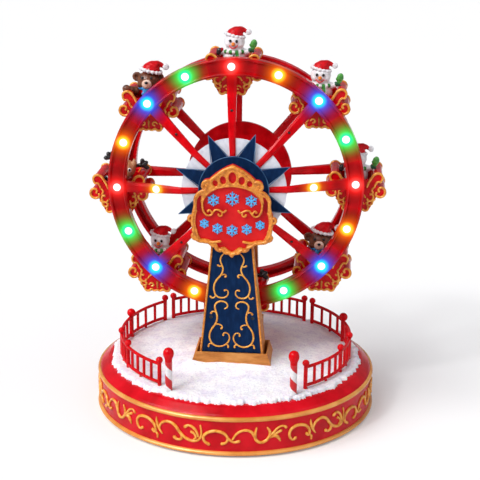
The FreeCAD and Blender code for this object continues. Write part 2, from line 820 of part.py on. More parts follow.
def front_tower():
    """Front tower: an open-fronted housing with a sloped back, closed by the blue panel."""
    foot = size("deck_height")
    front = -size("tower_front")
    depth = size("tower_depth")
    thin = size("tower_thin")
    wall = size("tower_wall")
    post = [size(n) for n in ("tower_foot_half", "tower_neck_half", "tower_head", "plinth_top", "tower_neck")]
    side = 2 * size("tower_foot_half")
    outside = tower_outline(post, foot, 0)
    outside.translate(Vector(0, front, 0))
    solid = outside.extrude(Vector(0, depth, 0))
    low = size("back_slope_low")
    high = size("back_slope_high")
    top = size("hub_height") + size("tower_head") + 1
    behind = Part.Face(Part.makePolygon([
        Vector(0, front + depth, low), Vector(0, front + thin, high), Vector(0, front + thin, top),
        Vector(0, front + depth + 1, top), Vector(0, front + depth + 1, low), Vector(0, front + depth, low),
    ]))
    behind.translate(Vector(-side, 0, 0))
    whole = solid.cut(behind.extrude(Vector(2 * side, 0, 0)))
    inside = tower_outline(post, foot + wall, wall)
    inside.translate(Vector(0, front, 0))
    hollow = inside.extrude(Vector(0, depth - wall, 0))
    behind.translate(Vector(0, -wall, 0))
    hollow = hollow.cut(behind.extrude(Vector(2 * side, 0, 0)))
    hub = size("hub_height")
    seat = front + size("panel_sink") + size("panel_thickness") + 0.1
    forward = Vector(0, 1, 0)
    boss_radius = size("bush_radius") + size("bush_boss_wall")
    boss = Part.makeCylinder(boss_radius, front + thin - wall - seat, Vector(0, seat, hub), forward)
    solid = whole.cut(hollow.cut(boss))
    for hand in (-1, 1):
        x = hand * size("tower_screw_x")
        start = Vector(x, seat, size("tower_screw_z"))
        thick = size("screw_radius") + size("pillar_wall")
        pillar = Part.makeCylinder(thick, depth, start, forward)
        solid = solid.fuse(pillar.common(whole))
        bore = size("small_screw_radius") + size("screw_gap")
        mouth = Vector(x, front, size("tower_screw_z"))
        solid = solid.cut(Part.makeCylinder(bore, size("tower_screw_length") + 1, mouth, forward))
    hole_radius = size("bush_radius") + size("bush_fit")
    bush_hole = Part.makeCylinder(hole_radius, thin, Vector(0, seat, hub), forward)
    made("front_tower_housing", solid.cut(bush_hole).removeSplitter())
    panel = tower_outline(post, size("plinth_top") + size("fit_gap"), wall + size("fit_gap"))
    panel.translate(Vector(0, front + size("panel_sink"), 0))
    plate = panel.extrude(Vector(0, size("panel_thickness"), 0))
    for hand in (-1, 1):
        x = hand * size("tower_screw_x")
        start = Vector(x, front, size("tower_screw_z"))
        plate = plate.cut(Part.makeCylinder(size("screw_radius") + 0.1, 5, start, forward))
    made("front_tower_panel", plate)


def front_plinth():
    """The ochre block round the foot of the front tower, with a thin rim and a groove on each side."""
    hole = block("PlinthHole", "plinth_width - plinth_wall * 2", "tower_depth + fit_gap * 2",
                 "plinth_top - deck_height", y="tower_depth / 2 - tower_front", z="deck_height")
    keep("front_plinth", cut("Plinth", flared_block("PlinthSolid"), hole))


# The hub's height in the shield's own drawing
SHIELD_HUB = 180.0


def shield_outline(grow):
    """The shield's ornate edge: a peaked crown, waist, wide middle and lobed foot, grown or shrunk."""
    right = [
        (Vector(0, 0, 203.4), Vector(9.6, 0, 198.4), Vector(17.6, 0, 191.6)),
        (Vector(17.6, 0, 191.6), Vector(22.6, 0, 188.6), Vector(20.6, 0, 183.8)),
        (Vector(20.6, 0, 183.8), Vector(27.4, 0, 178.6), Vector(27.9, 0, 170.6)),
        (Vector(27.9, 0, 170.6), Vector(31.2, 0, 161.4), Vector(29.5, 0, 151.0)),
        (Vector(29.5, 0, 151.0), Vector(28.4, 0, 144.6), Vector(22.4, 0, 142.0)),
        (Vector(22.4, 0, 142.0), Vector(18.2, 0, 141.4), Vector(14.0, 0, 139.4)),
        (Vector(14.0, 0, 139.4), Vector(11.0, 0, 135.6), Vector(6.4, 0, 136.0)),
        (Vector(6.4, 0, 136.0), Vector(3.4, 0, 133.6), Vector(0, 0, 132.0)),
    ]
    edges = [Part.Arc(*points).toShape() for points in right]
    mirrored = [[Vector(-p.x, 0, p.z) for p in reversed(points)] for points in reversed(right)]
    edges += [Part.Arc(*points).toShape() for points in mirrored]
    face = Part.Face(Part.Wire(edges))
    lift = size("hub_height") - SHIELD_HUB
    face.translate(Vector(0, 0, lift))
    if grow:
        face = face.makeOffset2D(grow)
    return face


# Ovals in the shield's crown: distance to the side, height over the hub, half width and half height
CROWN_OVALS = ((0, 13.4, 2.9, 4.5), (6.9, 11.4, 2.4, 3.3), (12.8, 8.9, 2.1, 2.5))


def oval(x, z, half_width, half_height, y, depth):
    """A short oval plug across the shield."""
    long_way = Vector(0, 0, 1) if half_height > half_width else Vector(1, 0, 0)
    major = max(half_width, half_height)
    minor = min(half_width, half_height)
    centre = Vector(x, y, z)
    cross = Vector(1, 0, 0) if half_height > half_width else Vector(0, 0, 1)
    ellipse = Part.Ellipse(centre + long_way * major, centre + cross * minor, centre)
    return Part.Face(Part.Wire(ellipse.toShape())).extrude(Vector(0, depth, 0))


def shield():
    """Red board on the tower's face and the gold frame in front of it, with five ovals in the crown."""
    back = -size("tower_front")
    board = shield_outline(0)
    board.translate(Vector(0, back, 0))
    made("sign_board", board.extrude(Vector(0, -size("board_plate"), 0)))
    frame_back = back - size("board_plate")
    frame = shield_outline(-size("frame_inset"))
    frame.translate(Vector(0, frame_back, 0))
    solid = frame.extrude(Vector(0, -size("frame_plate"), 0))
    window = shield_outline(-size("frame_inset") - size("frame_bar"))
    window.translate(Vector(0, frame_back, 0))
    hub = size("hub_height")
    centre = Vector(0, frame_back, hub - size("field_drop"))
    field = Part.makeCylinder(size("field_radius"), size("frame_plate"), centre, Vector(0, -1, 0))
    solid = solid.cut(window.extrude(Vector(0, -size("frame_plate"), 0)).common(field))
    deep = -size("frame_plate")
    for x, z, half_width, half_height in CROWN_OVALS:
        for side in ({0} if x == 0 else {-1, 1}):
            solid = solid.cut(oval(side * x, hub + z, half_width, half_height, frame_back, deep))
    made("sign_frame", solid)


def wheel_placement(turn="wheel_turn"):
    """Local +Z of a wheel piece points to the front, and the wheel stands slightly turned."""
    spin = Rotation(Vector(0, 0, 1), size(turn))
    return Placement(Vector(0, 0, size("hub_height")), FACING_FRONT.multiply(spin))


def on_wheel(thing):
    thing.Placement = wheel_placement()
    bind(thing, {"Placement.Base.z": "hub_height"})
    return thing


def draw_spoke_section(body, name, at, width, back, front):
    """A bar section with a raised ridge, square to the spoke at a given radius."""
    sketch = new_sketch(body, "YZ_Plane", name, at)
    draw_polygon(sketch, [
        (f"-( {width} ) / 2", back),
        (f"( {width} ) / 2", back),
        (f"( {width} ) / 2", f"{front} - spoke_ridge"),
        (f"( {width} ) / 4", front),
        (f"-( {width} ) / 4", front),
        (f"-( {width} ) / 2", f"{front} - spoke_ridge"),
    ])
    return sketch


def spokes(body, sections):
    """Eight tapering spokes, each lofted through its sections."""
    sketches = [draw_spoke_section(body, f"Section{i}", *s) for i, s in enumerate(sections)]
    loft = body.newObject("PartDesign::AdditiveLoft", "Spoke")
    loft.Profile = sketches[0]
    loft.Sections = sketches[1:]
    loft.Ruled = True
    polar(body, loft, SLEIGHS, "Spokes")


def drill(body, name, radius, at, angle, start, depth, count):
    """Drill a ring of blind or through holes, going to the back from a height."""
    sketch = new_sketch(body, "XY_Plane", name + "Circle", start)
    turn = math.radians(angle)
    draw_circle(sketch, radius, f"{at} * {math.cos(turn):.6f}", f"{at} * {math.sin(turn):.6f}")
    hole = pocket(body, sketch, depth, name)
    polar(body, hole, count, name + "s")


def wheel_front():
    """Front half of the wheel: rim with a recessed light band, dished spokes and a hub plate."""
    body = new_body("wheel_front")
    face = "front_rim_face"
    revolve(body, [
        ("rim_inner", RIM_BACK),
        ("rim_outer", RIM_BACK),
        ("rim_outer", face),
        ("rim_outer - rim_bead", face),
        ("rim_outer - rim_bead - rim_sink / 2", f"{face} - rim_sink"),
        ("rim_inner + rim_bead + rim_sink / 2", f"{face} - rim_sink"),
        ("rim_inner + rim_bead", face),
        ("rim_inner", face),
    ], "Rim")
    hub_front = "hub_plate_back + hub_plate"
    spokes(body, [
        ("spoke_root", "spoke_hub_width", "hub_plate_back", hub_front),
        ("disc_radius + 0.5", "spoke_hub_width + 1.2", "hub_plate_back", hub_front),
        ("rim_inner + 1", "spoke_rim_width", f"{RIM_BACK} + 1", f"{face} - 1"),
    ])
    plate = new_sketch(body, "XY_Plane", "HubPlateCircle", "hub_plate_back")
    draw_circle(plate, "hub_plate_radius")
    pad(body, plate, "hub_plate", "HubPlate")
    boss = new_sketch(body, "XY_Plane", "HubBossCircle", f"{DISC_BACK}")
    draw_circle(boss, "drum_radius - 1")
    pad(body, boss, "disc_plate", "HubBoss")
    bore = new_sketch(body, "XY_Plane", "AxleBoreCircle", hub_front)
    draw_circle(bore, "axle_radius")
    pocket(body, bore, "hub_plate + disc_plate", "AxleBore")
    drill(body, "LightHole", "light_radius", "light_circle", 0, face, "rim_sink + lamp_seat", 16)
    drill(body, "SpokeHole", "spoke_light_radius", "spoke_light_circle", 0, face + " + spoke_hole_lead",
          "spoke_hole_depth", 8)
    pin = new_sketch(body, "XY_Plane", "PinHoleCircle", RIM_BACK)
    draw_circle(pin, "pin_radius", "pivot_circle")
    polar(body, pocket(body, pin, "pin_hole_depth", "PinHole", backward=True), SLEIGHS, "PinHoles")
    on_wheel(body)


def wheel_rear():
    """Rear half of the wheel: rim with an open channel to the front, spokes and a plain disc."""
    body = new_body("wheel_rear")
    face = "rear_rim_face"
    back = "rear_rim_face - rim_depth"
    revolve(body, [
        ("rim_inner", back),
        ("rear_rim_outer", back),
        ("rear_rim_outer", face),
        ("rear_rim_outer - rim_bead", face),
        ("rear_rim_outer - rim_bead", f"{face} - rear_channel"),
        ("rim_inner + rim_bead", f"{face} - rear_channel"),
        ("rim_inner + rim_bead", face),
        ("rim_inner", face),
    ], "Rim")
    disc_back = "rear_disc_face - rear_disc_plate"
    spokes(body, [
        ("rear_disc_radius - 3", "spoke_hub_width + 1.5", disc_back, "rear_disc_face - 0.2"),
        ("rim_inner + 1", "spoke_rim_width", f"{back} + 1", f"{face} - 0.2"),
    ])
    disc = new_sketch(body, "XY_Plane", "RearDiscCircle", disc_back)
    draw_circle(disc, "rear_disc_radius")
    draw_circle(disc, "axle_radius")
    pad(body, disc, "rear_disc_plate", "RearDisc")
    bosses = new_sketch(body, "XY_Plane", "PinBossCircle", back)
    draw_circle(bosses, "pin_radius + 2", "pivot_circle")
    polar(body, pad(body, bosses, "rim_depth", "PinBoss"), SLEIGHS, "PinBosses")
    drill(body, "PinHole", "pin_radius", "pivot_circle", 0, face, "pin_hole_depth", SLEIGHS)
    on_wheel(body)


def hub_pieces():
    """Axle, drum between the wheel halves, white disc, star cover and belt pulley."""
    axle_front = "tower_front - panel_sink - panel_thickness - axle_end_gap"
    axle = cylinder("Axle", "axle_radius", f"{axle_front} + axle_back", z="hub_height")
    axle.Placement.Rotation = FACING_FRONT
    put(axle, "0", "axle_back", "hub_height")
    keep("wheel_axle", axle)
    drum = new_body("hub_drum")
    low = "rear_disc_face"
    high = DISC_BACK
    flare = "drum_radius + drum_flare"
    revolve(drum, [
        ("axle_radius", low),
        (flare, low),
        (flare, f"{low} + drum_lip"),
        ("drum_radius", f"{low} + drum_lip * 2"),
        ("drum_radius", f"{high} - drum_lip * 2"),
        (flare, f"{high} - drum_lip"),
        (flare, high),
        ("axle_radius", high),
    ])
    on_wheel(drum)
    disc = new_body("front_disc")
    ring = new_sketch(disc, "XY_Plane", "DiscCircles", DISC_BACK)
    draw_circle(ring, "disc_radius")
    draw_circle(ring, "drum_radius - 1")
    pad(disc, ring, "disc_plate", "Disc")
    on_wheel(disc)
    star = new_body("star_cover")
    root = size("star_half_angle")
    point = new_sketch(star, "XY_Plane", "StarPoint", STAR_BACK)
    inner = "star_disc - 1.4"
    middle = math.radians(LIGHT_STEP)
    corners = [(f"star_disc * {0.5 * math.cos(middle):.6f}", f"star_disc * {0.5 * math.sin(middle):.6f}")]
    for angle in (LIGHT_STEP - root, None, LIGHT_STEP + root):
        reach = "star_tip" if angle is None else inner
        turn = math.radians(LIGHT_STEP if angle is None else angle)
        corners.append((f"( {reach} ) * {math.cos(turn):.6f}", f"( {reach} ) * {math.sin(turn):.6f}"))
    draw_polygon(point, corners)
    points = pad(star, point, "star_plate", "Point")
    polar(star, points, SLEIGHS, "Points")
    cap = new_sketch(star, "XY_Plane", "CapCircle", f"{STAR_BACK} + star_plate * 0.5")
    draw_circle(cap, "star_disc")
    draw_circle(cap, "axle_radius + 0.1")
    pad(star, cap, "star_plate + 0.6", "Cap")
    on_wheel(star)
    pulley = new_body("hub_pulley")
    revolve(pulley, pulley_profile("hub_pulley", "axle_radius"))
    on_wheel(pulley)


def pulley_profile(radius, bore):
    """A flat-bottomed groove between two flanges, centred where the belt runs."""
    low = "-pulley_y - pulley_width / 2"
    high = "-pulley_y + pulley_width / 2"
    inner_low = "-pulley_y - belt_width / 2 - 0.1"
    inner_high = "-pulley_y + belt_width / 2 + 0.1"
    lip = f"{radius} + pulley_flange"
    return [
        (bore, low), (lip, low), (lip, inner_low), (radius, inner_low),
        (radius, inner_high), (lip, inner_high), (lip, high), (bore, high),
    ]


def lights():
    """Lamps in the rim in a repeating order of four colours, and two amber ones in the level spokes."""
    face = size("front_rim_face")
    radius = size("light_radius")
    groups = {"lights_white": [], "lights_green": [], "lights_blue": [], "lights_amber": []}
    names = list(groups)
    for i in range(16):
        turn = math.radians(90 + LIGHT_STEP * i)
        circle = size("light_circle")
        spot = Vector(circle * math.cos(turn), circle * math.sin(turn), 0)
        seat = face - size("rim_sink") - size("lamp_seat")
        groups[names[i % 4]].append(lamp(radius, spot, seat, face + size("light_stand")))
    slope_start = size("disc_radius") + 0.5
    slope_end = size("rim_inner") + 1
    hub_front = size("hub_plate_back") + size("hub_plate")
    at = size("spoke_light_circle")
    share = (at - slope_start) / (slope_end - slope_start)
    front = hub_front + (face - 1 - hub_front) * share
    for side in (-1, 1):
        spot = Vector(side * at, 0, 0)
        groups["lights_amber"].append(lamp(size("spoke_light_radius"), spot, front - 4, front + 1.0))
    for label, lamps in groups.items():
        made(label, Part.makeCompound(lamps), wheel_placement())


def lamp(radius, spot, low, high):
    """A short round-topped lamp body."""
    straight = high - radius * 0.8 - low
    body = Part.makeCylinder(radius - 0.05, straight, spot + Vector(0, 0, low))
    dome = Part.makeSphere(radius - 0.05)
    dome.translate(spot + Vector(0, 0, low + straight - radius * 0.2))
    return body.fuse(dome).removeSplitter()


def belt_loop(extra):
    """A closed loop round both pulleys at a distance outside their grooves."""
    top = Vector(0, 0, size("hub_height"))
    low = Vector(0, 0, size("drive_height"))
    big = size("hub_pulley") + extra
    small = size("drive_pulley") + extra
    lean = math.asin((big - small) / (top.z - low.z))
    out = Vector(math.cos(lean), 0, -math.sin(lean))
    mirror = Vector(-out.x, 0, out.z)
    edges = [
        Part.Arc(top + out * big, top + Vector(0, 0, big), top + mirror * big).toShape(),
        Part.LineSegment(top + mirror * big, low + mirror * small).toShape(),
        Part.Arc(low + mirror * small, low - Vector(0, 0, small), low + out * small).toShape(),
        Part.LineSegment(low + out * small, top + out * big).toShape(),
    ]
    face = Part.Face(Part.Wire(edges))
    face.translate(Vector(0, size("pulley_y") - size("belt_width") / 2, 0))
    return face.extrude(Vector(0, size("belt_width"), 0))


def drive():
    """Gear motor in the base, its pulley and shaft, the belt and the two axle bushes."""
    box = block("Gearbox", "motor_side", "motor_length", "motor_side",
                y="motor_back - motor_length / 2", z="drive_height - motor_side / 2")
    can = cylinder("MotorCan", "can_radius", "can_length", "0", "motor_back - motor_length", "drive_height",
                   FACING_FRONT)
    bore = cylinder("GearboxBore", "drive_shaft + running_gap", "shaft_seat + 1", "0", "motor_back",
                    "drive_height", FACING_FRONT)
    keep("gear_motor", cut("Motor", joined("MotorBody", [box, can]), bore))
    pulley = new_body("drive_pulley")
    revolve(pulley, pulley_profile("drive_pulley", "0"))
    shaft = new_sketch(pulley, "XY_Plane", "ShaftCircle", "-pulley_y")
    draw_circle(shaft, "drive_shaft")
    pad(pulley, shaft, "pulley_y - motor_back + shaft_seat", "Shaft")
    pulley.Placement = Placement(Vector(0, 0, size("drive_height")), FACING_FRONT)
    bind(pulley, {"Placement.Base.z": "drive_height"})
    gap = size("belt_gap")
    made("drive_belt", belt_loop(gap + size("belt_thickness")).cut(belt_loop(gap)))
    bushes = []
    front_seat = "panel_sink + panel_thickness + 0.1 - tower_front"
    rear_seat = "rear_post_front"
    for name, y, length, flange in (
        ("FrontBush", front_seat, f"{THIN_BACK} - ( {front_seat} )", THIN_BACK),
        ("RearBush", rear_seat, "rear_post_wall", "rear_post_front - bush_lip"),
    ):
        sleeve = cylinder(name + "Sleeve", "bush_radius", length, "0", f"{y} + {length}", "hub_height",
                          FACING_FRONT)
        lip = cylinder(name + "Lip", "bush_flange", "bush_lip", "0", f"{flange} + bush_lip", "hub_height",
                       FACING_FRONT)
        hole = cylinder(name + "Hole", "axle_radius + running_gap", f"{length} + 2", "0",
                        f"{y} + {length} + 1", "hub_height", FACING_FRONT)
        bushes.append(cut(name, joined(name + "Body", [sleeve, lip]), hole))
    keep("axle_bushes", group("Bushes", bushes))


def rear_post():
    """Slim rear post that hides the belt, its back cover and its plinth."""
    foot = size("deck_height")
    front = size("rear_post_front")
    depth = size("rear_post_depth")
    wall = size("rear_post_wall")
    post = [size(n) for n in ("rear_foot_half", "rear_neck_half", "rear_head", "deck_height", "rear_neck")]
    shell = tower_outline(post, foot, 0).extrude(Vector(0, depth - wall, 0))
    shell.translate(Vector(0, front, 0))
    hollow = tower_outline(post, foot - 1, wall).extrude(Vector(0, depth, 0))
    hollow.translate(Vector(0, front + wall, 0))
    hole_radius = size("bush_radius") + size("bush_fit")
    hole = Part.makeCylinder(hole_radius, wall, Vector(0, front, size("hub_height")), Vector(0, 1, 0))
    made("rear_post", shell.cut(hollow).cut(hole))
    cover = tower_outline(post, foot, 0).extrude(Vector(0, wall, 0))
    cover.translate(Vector(0, front + depth - wall, 0))
    made("rear_post_cover", cover)
    margin = "rear_plinth_margin * 2"
    outer = block("RearPlinthBlock", f"rear_foot_half * 2 + {margin}", f"rear_post_depth + {margin}",
                  "rear_plinth_top - deck_height", y="rear_post_front + rear_post_depth / 2", z="deck_height")
    inner = block("RearPlinthHole", "( rear_foot_half + fit_gap ) * 2", "rear_post_depth + fit_gap * 2",
                  "rear_plinth_top - deck_height", y="rear_post_front + rear_post_depth / 2", z="deck_height")
    keep("rear_plinth", cut("RearPlinth", outer, inner))


def sleigh_middle():
    """How far the middle of the sleighs lies behind the axle's middle."""
    return -(size("front_rim_face") - size("rim_depth") + size("rear_rim_face")) / 2


def sleigh_spot(number):
    """Where a sleigh hangs: the pivot's place in the part's frame."""
    turn = math.radians(90 + 45 * number + size("wheel_turn"))
    circle = size("pivot_circle")
    return Vector(circle * math.cos(turn), sleigh_middle(), size("hub_height") + circle * math.sin(turn))


def gondola_pins():
    """Stub pins pressed into both rims; each sleigh hangs on a pair."""
    half_gap = (size("front_rim_face") - size("rim_depth") - size("rear_rim_face")) / 2
    inner = size("seat_depth") / 2 - size("seat_wall") + 0.4
    length = half_gap + size("pin_hole_depth") - inner
    pins = []
    for number in range(SLEIGHS):
        spot = sleigh_spot(number)
        for side in (-1, 1):
            start = spot + Vector(0, side * inner, 0)
            pins.append(Part.makeCylinder(size("pin_radius"), length, start, Vector(0, side, 0)))
    made("gondola_pins", Part.makeCompound(pins))


def gondola_seat(number):
    """A sleigh-shaped seat: two tiers that end in rolls, a well for the figure and pin bores."""
    body = new_body(f"gondola_seat_{number + 1}")
    side = new_sketch(body, "XZ_Plane", "Side")
    half = [
        ("seat_half * 0.5", "-seat_drop"),
        ("seat_half * 0.68", "-seat_drop * 0.7"),
        ("seat_half * 0.8", "-tier_drop - tier_roll * 0.8"),
        ("seat_half", "-tier_drop"),
        ("seat_half * 0.82", "-tier_drop + tier_roll * 1.2"),
        ("seat_half - seat_roll * 0.6", "seat_roll * 0.4"),
        ("well_half", "seat_roll * 0.4"),
    ]
    mirrored = [(f"-( {x} )", z) for x, z in reversed(half)]
    draw_polygon(side, half + mirrored)
    pad(body, side, "seat_depth", "Hull", both_ways=True)
    rolls = new_sketch(body, "XZ_Plane", "Rolls")
    for sign in ("", "-"):
        draw_circle(rolls, "seat_roll", f"{sign}( seat_half - seat_roll )", "seat_roll * 0.9")
        draw_circle(rolls, "tier_roll", f"{sign}( seat_half - tier_roll * 0.4 )", "-tier_drop")
    pad(body, rolls, "seat_depth", "Tiers", both_ways=True)
    well = new_sketch(body, "XZ_Plane", "WellOutline")
    draw_polygon(well, [
        ("-well_half + 0.8", "-seat_floor"),
        ("well_half - 0.8", "-seat_floor"),
        ("well_half - 0.8", "seat_roll * 3"),
        ("-well_half + 0.8", "seat_roll * 3"),
    ])
    pocket(body, well, "seat_depth - seat_wall * 2", "Well", both_ways=True)
    gap = "front_rim_face - rim_depth - rear_rim_face"
    for sign in (-1, 1):
        boss = new_sketch(body, "XZ_Plane", "EarCircle", f"{sign} * ( seat_depth / 2 - seat_wall )")
        draw_circle(boss, "seat_boss")
        reach = f"( {gap} ) / 2 - seat_gap - ( seat_depth / 2 - seat_wall )"
        pad(body, boss, reach, "Ear", backward=sign < 0)
    bore = new_sketch(body, "XZ_Plane", "PinBoreCircle")
    draw_circle(bore, "pin_radius + pin_gap")
    pocket(body, bore, f"{gap}", "PinBore", both_ways=True)
    body.Placement = Placement(sleigh_spot(number), Rotation())
    return body


def figure(number, kind):
    """A seated figure: rounded body, arms, head and what it wears. Heights count from the pivot."""
    pieces = []

    def add_ball(name, radius, x, y, z):
        pieces.append(ball(name, radius, x, y, z))

    head = "( head_height - reindeer_drop )" if kind == "reindeer" else "head_height"
    brow = f"{head} + head_radius * 0.45"
    floor = "-seat_floor + figure_gap + body_radius"
    shoulder = 0.7 if kind == "reindeer" else 0.82
    add_ball("Body", "body_radius", "0", "0", floor)
    add_ball("Chest", "body_radius * 0.86", "0", "0", f"{floor} + body_radius * 0.55")
    add_ball("Head", "head_radius", "0", "0", head)
    for side in (-1, 1):
        add_ball("Shoulder", "body_radius * 0.42", f"{side} * body_radius * {shoulder}", "-body_radius * 0.1",
                 f"{head} - head_radius * 1.05")
        add_ball("Hand", "body_radius * 0.36", f"{side} * body_radius * 1.2", "-body_radius * 0.36",
                 "seat_roll * 1.9 + body_radius * 0.3")
    if kind == "reindeer":
        add_ball("Muzzle", "head_radius * 0.55", "0", "-head_radius * 0.75", f"{head} - head_radius * 0.3")
        for side in (-1, 1):
            lean = Rotation(Vector(0, 1, 0), side * 48)
            antler = cylinder("Antler", "antler_radius", "head_radius * 1.45",
                              f"{side} * head_radius * 0.45", "0", f"{head} + head_radius * 0.4", lean)
            pieces.append(antler)
            add_ball("AntlerTop", "antler_tip", f"{side} * head_radius * 1.42", "0",
                     f"{head} + head_radius * 1.2")
            add_ball("Ear", "head_radius * 0.3", f"{side} * head_radius * 0.95", "0",
                     f"{head} + head_radius * 0.35")
    else:
        turn = Rotation(Vector(0, 1, 0), 14)
        ring = {"Radius1": "brim_radius", "Radius2": "brim_tube"}
        pieces.append(primitive("Part::Torus", "Brim", ring, z=brow))
        cone = {"Radius1": "brim_radius + 0.4", "Radius2": "brim_tube * 1.6",
                "Height": "hat_height * 0.8"}
        pieces.append(primitive("Part::Cone", "Cap", cone, z=brow, turn=turn))
        add_ball("Bobble", "bobble", "hat_height * 0.36", "0", f"{brow} + hat_height * 0.82")
        add_ball("Nose", "head_radius * 0.2", "0", "-head_radius * 1.02", head)
        if kind == "bear":
            add_ball("Muzzle", "head_radius * 0.5", "0", "-head_radius * 0.66",
                     f"{head} - head_radius * 0.25")
            for side in (-1, 1):
                add_ball("Ear", "head_radius * 0.34", f"{side} * head_radius * 0.92", "0",
                         f"{head} + head_radius * 0.42")
    whole = joined("Figure", pieces)
    keep(f"figure_{number + 1}", whole)
    whole.Placement = Placement(sleigh_spot(number), Rotation())


def figures_and_seats():
    """Eight sleighs round the rim, counted the way the wheel turns from the top one."""
    kinds = ("snowman", "bear", "reindeer", "snowman", "reindeer", "bear", "snowman", "snowman")
    for number in range(SLEIGHS):
        gondola_seat(number)
        figure(number, kinds[number])


def build():
    base_shell()
    base_trim_rings()
    snow_ground()
    bottom_cover()
    battery_box()
    electronics()
    screws_and_feet()
    fence()
    bollards()
    front_plinth()
    front_tower()
    shield()
    hub_pieces()
    wheel_front()
    wheel_rear()
    lights()
    drive()
    rear_post()
    gondola_pins()
    figures_and_seats()
    doc.recompute()


def check():
    """Stop on any failed feature or faulty shape."""
    faults = [o.Name for o in doc.Objects if "Invalid" in o.State or "Error" in o.State]
    for label, thing in parts.items():
        if thing.Shape.isNull() or not thing.Shape.isValid():
            faults.append(label)
    if faults:
        raise RuntimeError("faulty objects: " + ", ".join(faults))


def write():
    """Write each sub-part to its own file."""
    os.makedirs("parts", exist_ok=True)
    for label, thing in parts.items():
        thing.Shape.exportStep(os.path.join("parts", label + ".step"))
    print(len(parts), "sub-parts written")


build()
check()
write()
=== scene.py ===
import json
from math import cos, exp, hypot, pi, radians, sin, sqrt

import bpy
from mathutils import Euler, Matrix, Vector, noise


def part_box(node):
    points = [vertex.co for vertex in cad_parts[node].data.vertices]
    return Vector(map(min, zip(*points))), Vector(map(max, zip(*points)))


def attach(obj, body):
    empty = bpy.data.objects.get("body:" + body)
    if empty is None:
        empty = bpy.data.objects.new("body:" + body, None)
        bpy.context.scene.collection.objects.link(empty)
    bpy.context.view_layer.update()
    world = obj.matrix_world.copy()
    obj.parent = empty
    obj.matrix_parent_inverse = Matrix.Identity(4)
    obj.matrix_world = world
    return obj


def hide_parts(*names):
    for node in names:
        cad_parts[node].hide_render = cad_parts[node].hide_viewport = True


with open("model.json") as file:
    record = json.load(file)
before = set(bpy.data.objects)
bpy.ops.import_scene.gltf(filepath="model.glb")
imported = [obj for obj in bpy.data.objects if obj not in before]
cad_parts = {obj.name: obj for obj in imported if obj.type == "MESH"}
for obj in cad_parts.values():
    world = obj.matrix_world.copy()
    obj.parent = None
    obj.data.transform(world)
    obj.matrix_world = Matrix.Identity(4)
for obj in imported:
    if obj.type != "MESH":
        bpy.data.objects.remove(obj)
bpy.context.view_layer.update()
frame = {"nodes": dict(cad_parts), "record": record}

# Looks for the musical Christmas ferris wheel. Lengths are written in millimetres and scaled by MM.
MM = 0.001


def corners(name):
    """A node's lowest and highest corner in millimetres."""
    return [[value / MM for value in corner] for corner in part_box(name)]


AXLE_LOW, AXLE_HIGH = corners("wheel_axle")
HUB = (AXLE_LOW[2] + AXLE_HIGH[2]) / 2.0
DECK = corners("snow_ground")[0][2]
PANEL_FACE = corners("front_tower_panel")[0][1]
# Degrees by which the wheel stands past level
TURN = 2.4
# Radii of the red band, of the deck's rim, of the circle of rim lamps and of the sleighs' pins
WALL = 109.4
DECK_RIM = 101.5
LAMP_CIRCLE = 91.5
SLEIGH_CIRCLE = 92.0
# Distance of the two lit spoke lamps from the hub
SPOKE_LAMP = 60.0
# Faces of the shield's frame and board
FRAME_FACE = -46.3
BOARD_FACE = -44.75
WHITE = (1.0, 1.0, 1.0)

nodes = frame["nodes"]
record = frame["record"]
scene = bpy.context.scene


# Node materials

def new_material(name):
    """A node material, with its tree and its principled shader."""
    material = bpy.data.materials.new(name)
    material.use_nodes = True
    return material, material.node_tree, material.node_tree.nodes["Principled BSDF"]


def tune(node, **inputs):
    """Set input values by name, with _ for a space."""
    for key, value in inputs.items():
        node.inputs[key.replace("_", " ")].default_value = value


def add(tree, kind, settings=None, **inputs):
    """A shader node with properties from settings and input values by name."""
    node = tree.nodes.new("ShaderNode" + kind)
    for key, value in (settings or {}).items():
        setattr(node, key, value)
    tune(node, **inputs)
    return node


def wire(tree, start, node, key):
    """Link a socket to one of a node's inputs."""
    tree.links.new(start, node.inputs[key])


def calc(tree, operation, a, b=0.0, c=None):
    """A math node on sockets or numbers; returns its result."""
    node = tree.nodes.new("ShaderNodeMath")
    node.operation = operation
    for i, value in enumerate((a, b) if c is None else (a, b, c)):
        if isinstance(value, (int, float)):
            node.inputs[i].default_value = value
        else:
            wire(tree, value, node, i)
    return node.outputs[0]


def ramp(tree, factor, stops, interpolation="LINEAR"):
    """A colour ramp through (place, colour) stops."""
    node = add(tree, "ValToRGB")
    node.color_ramp.interpolation = interpolation
    elements = node.color_ramp.elements
    while len(elements) < len(stops):
        elements.new(1.0)
    for element, (place, colour) in zip(elements, stops):
        element.position = place
        element.color = (*colour, 1.0)
    wire(tree, factor, node, 0)
    return node.outputs[0]


def mixed(tree, factor, a, b, blend="MIX"):
    """A colour mix of sockets or plain colours."""
    node = add(tree, "Mix", {"data_type": "RGBA", "blend_type": blend})
    for value, key in ((factor, 0), (a, 6), (b, 7)):
        if isinstance(value, (int, float)):
            node.inputs[key].default_value = value
        elif isinstance(value, tuple):
            node.inputs[key].default_value = (*value, 1.0)
        else:
            wire(tree, value, node, key)
    return node.outputs[2]


def place(tree):
    """Object coordinates, which turn with the body."""
    return add(tree, "TexCoord").outputs["Object"]


def axes(tree):
    """The object coordinates one by one."""
    split = add(tree, "SeparateXYZ")
    wire(tree, place(tree), split, 0)
    return split.outputs


def remap(tree, value, settings=None, **ends):
    """A value mapped from one span to another."""
    node = add(tree, "MapRange", settings, **ends)
    wire(tree, value, node, 0)
    return node.outputs[0]


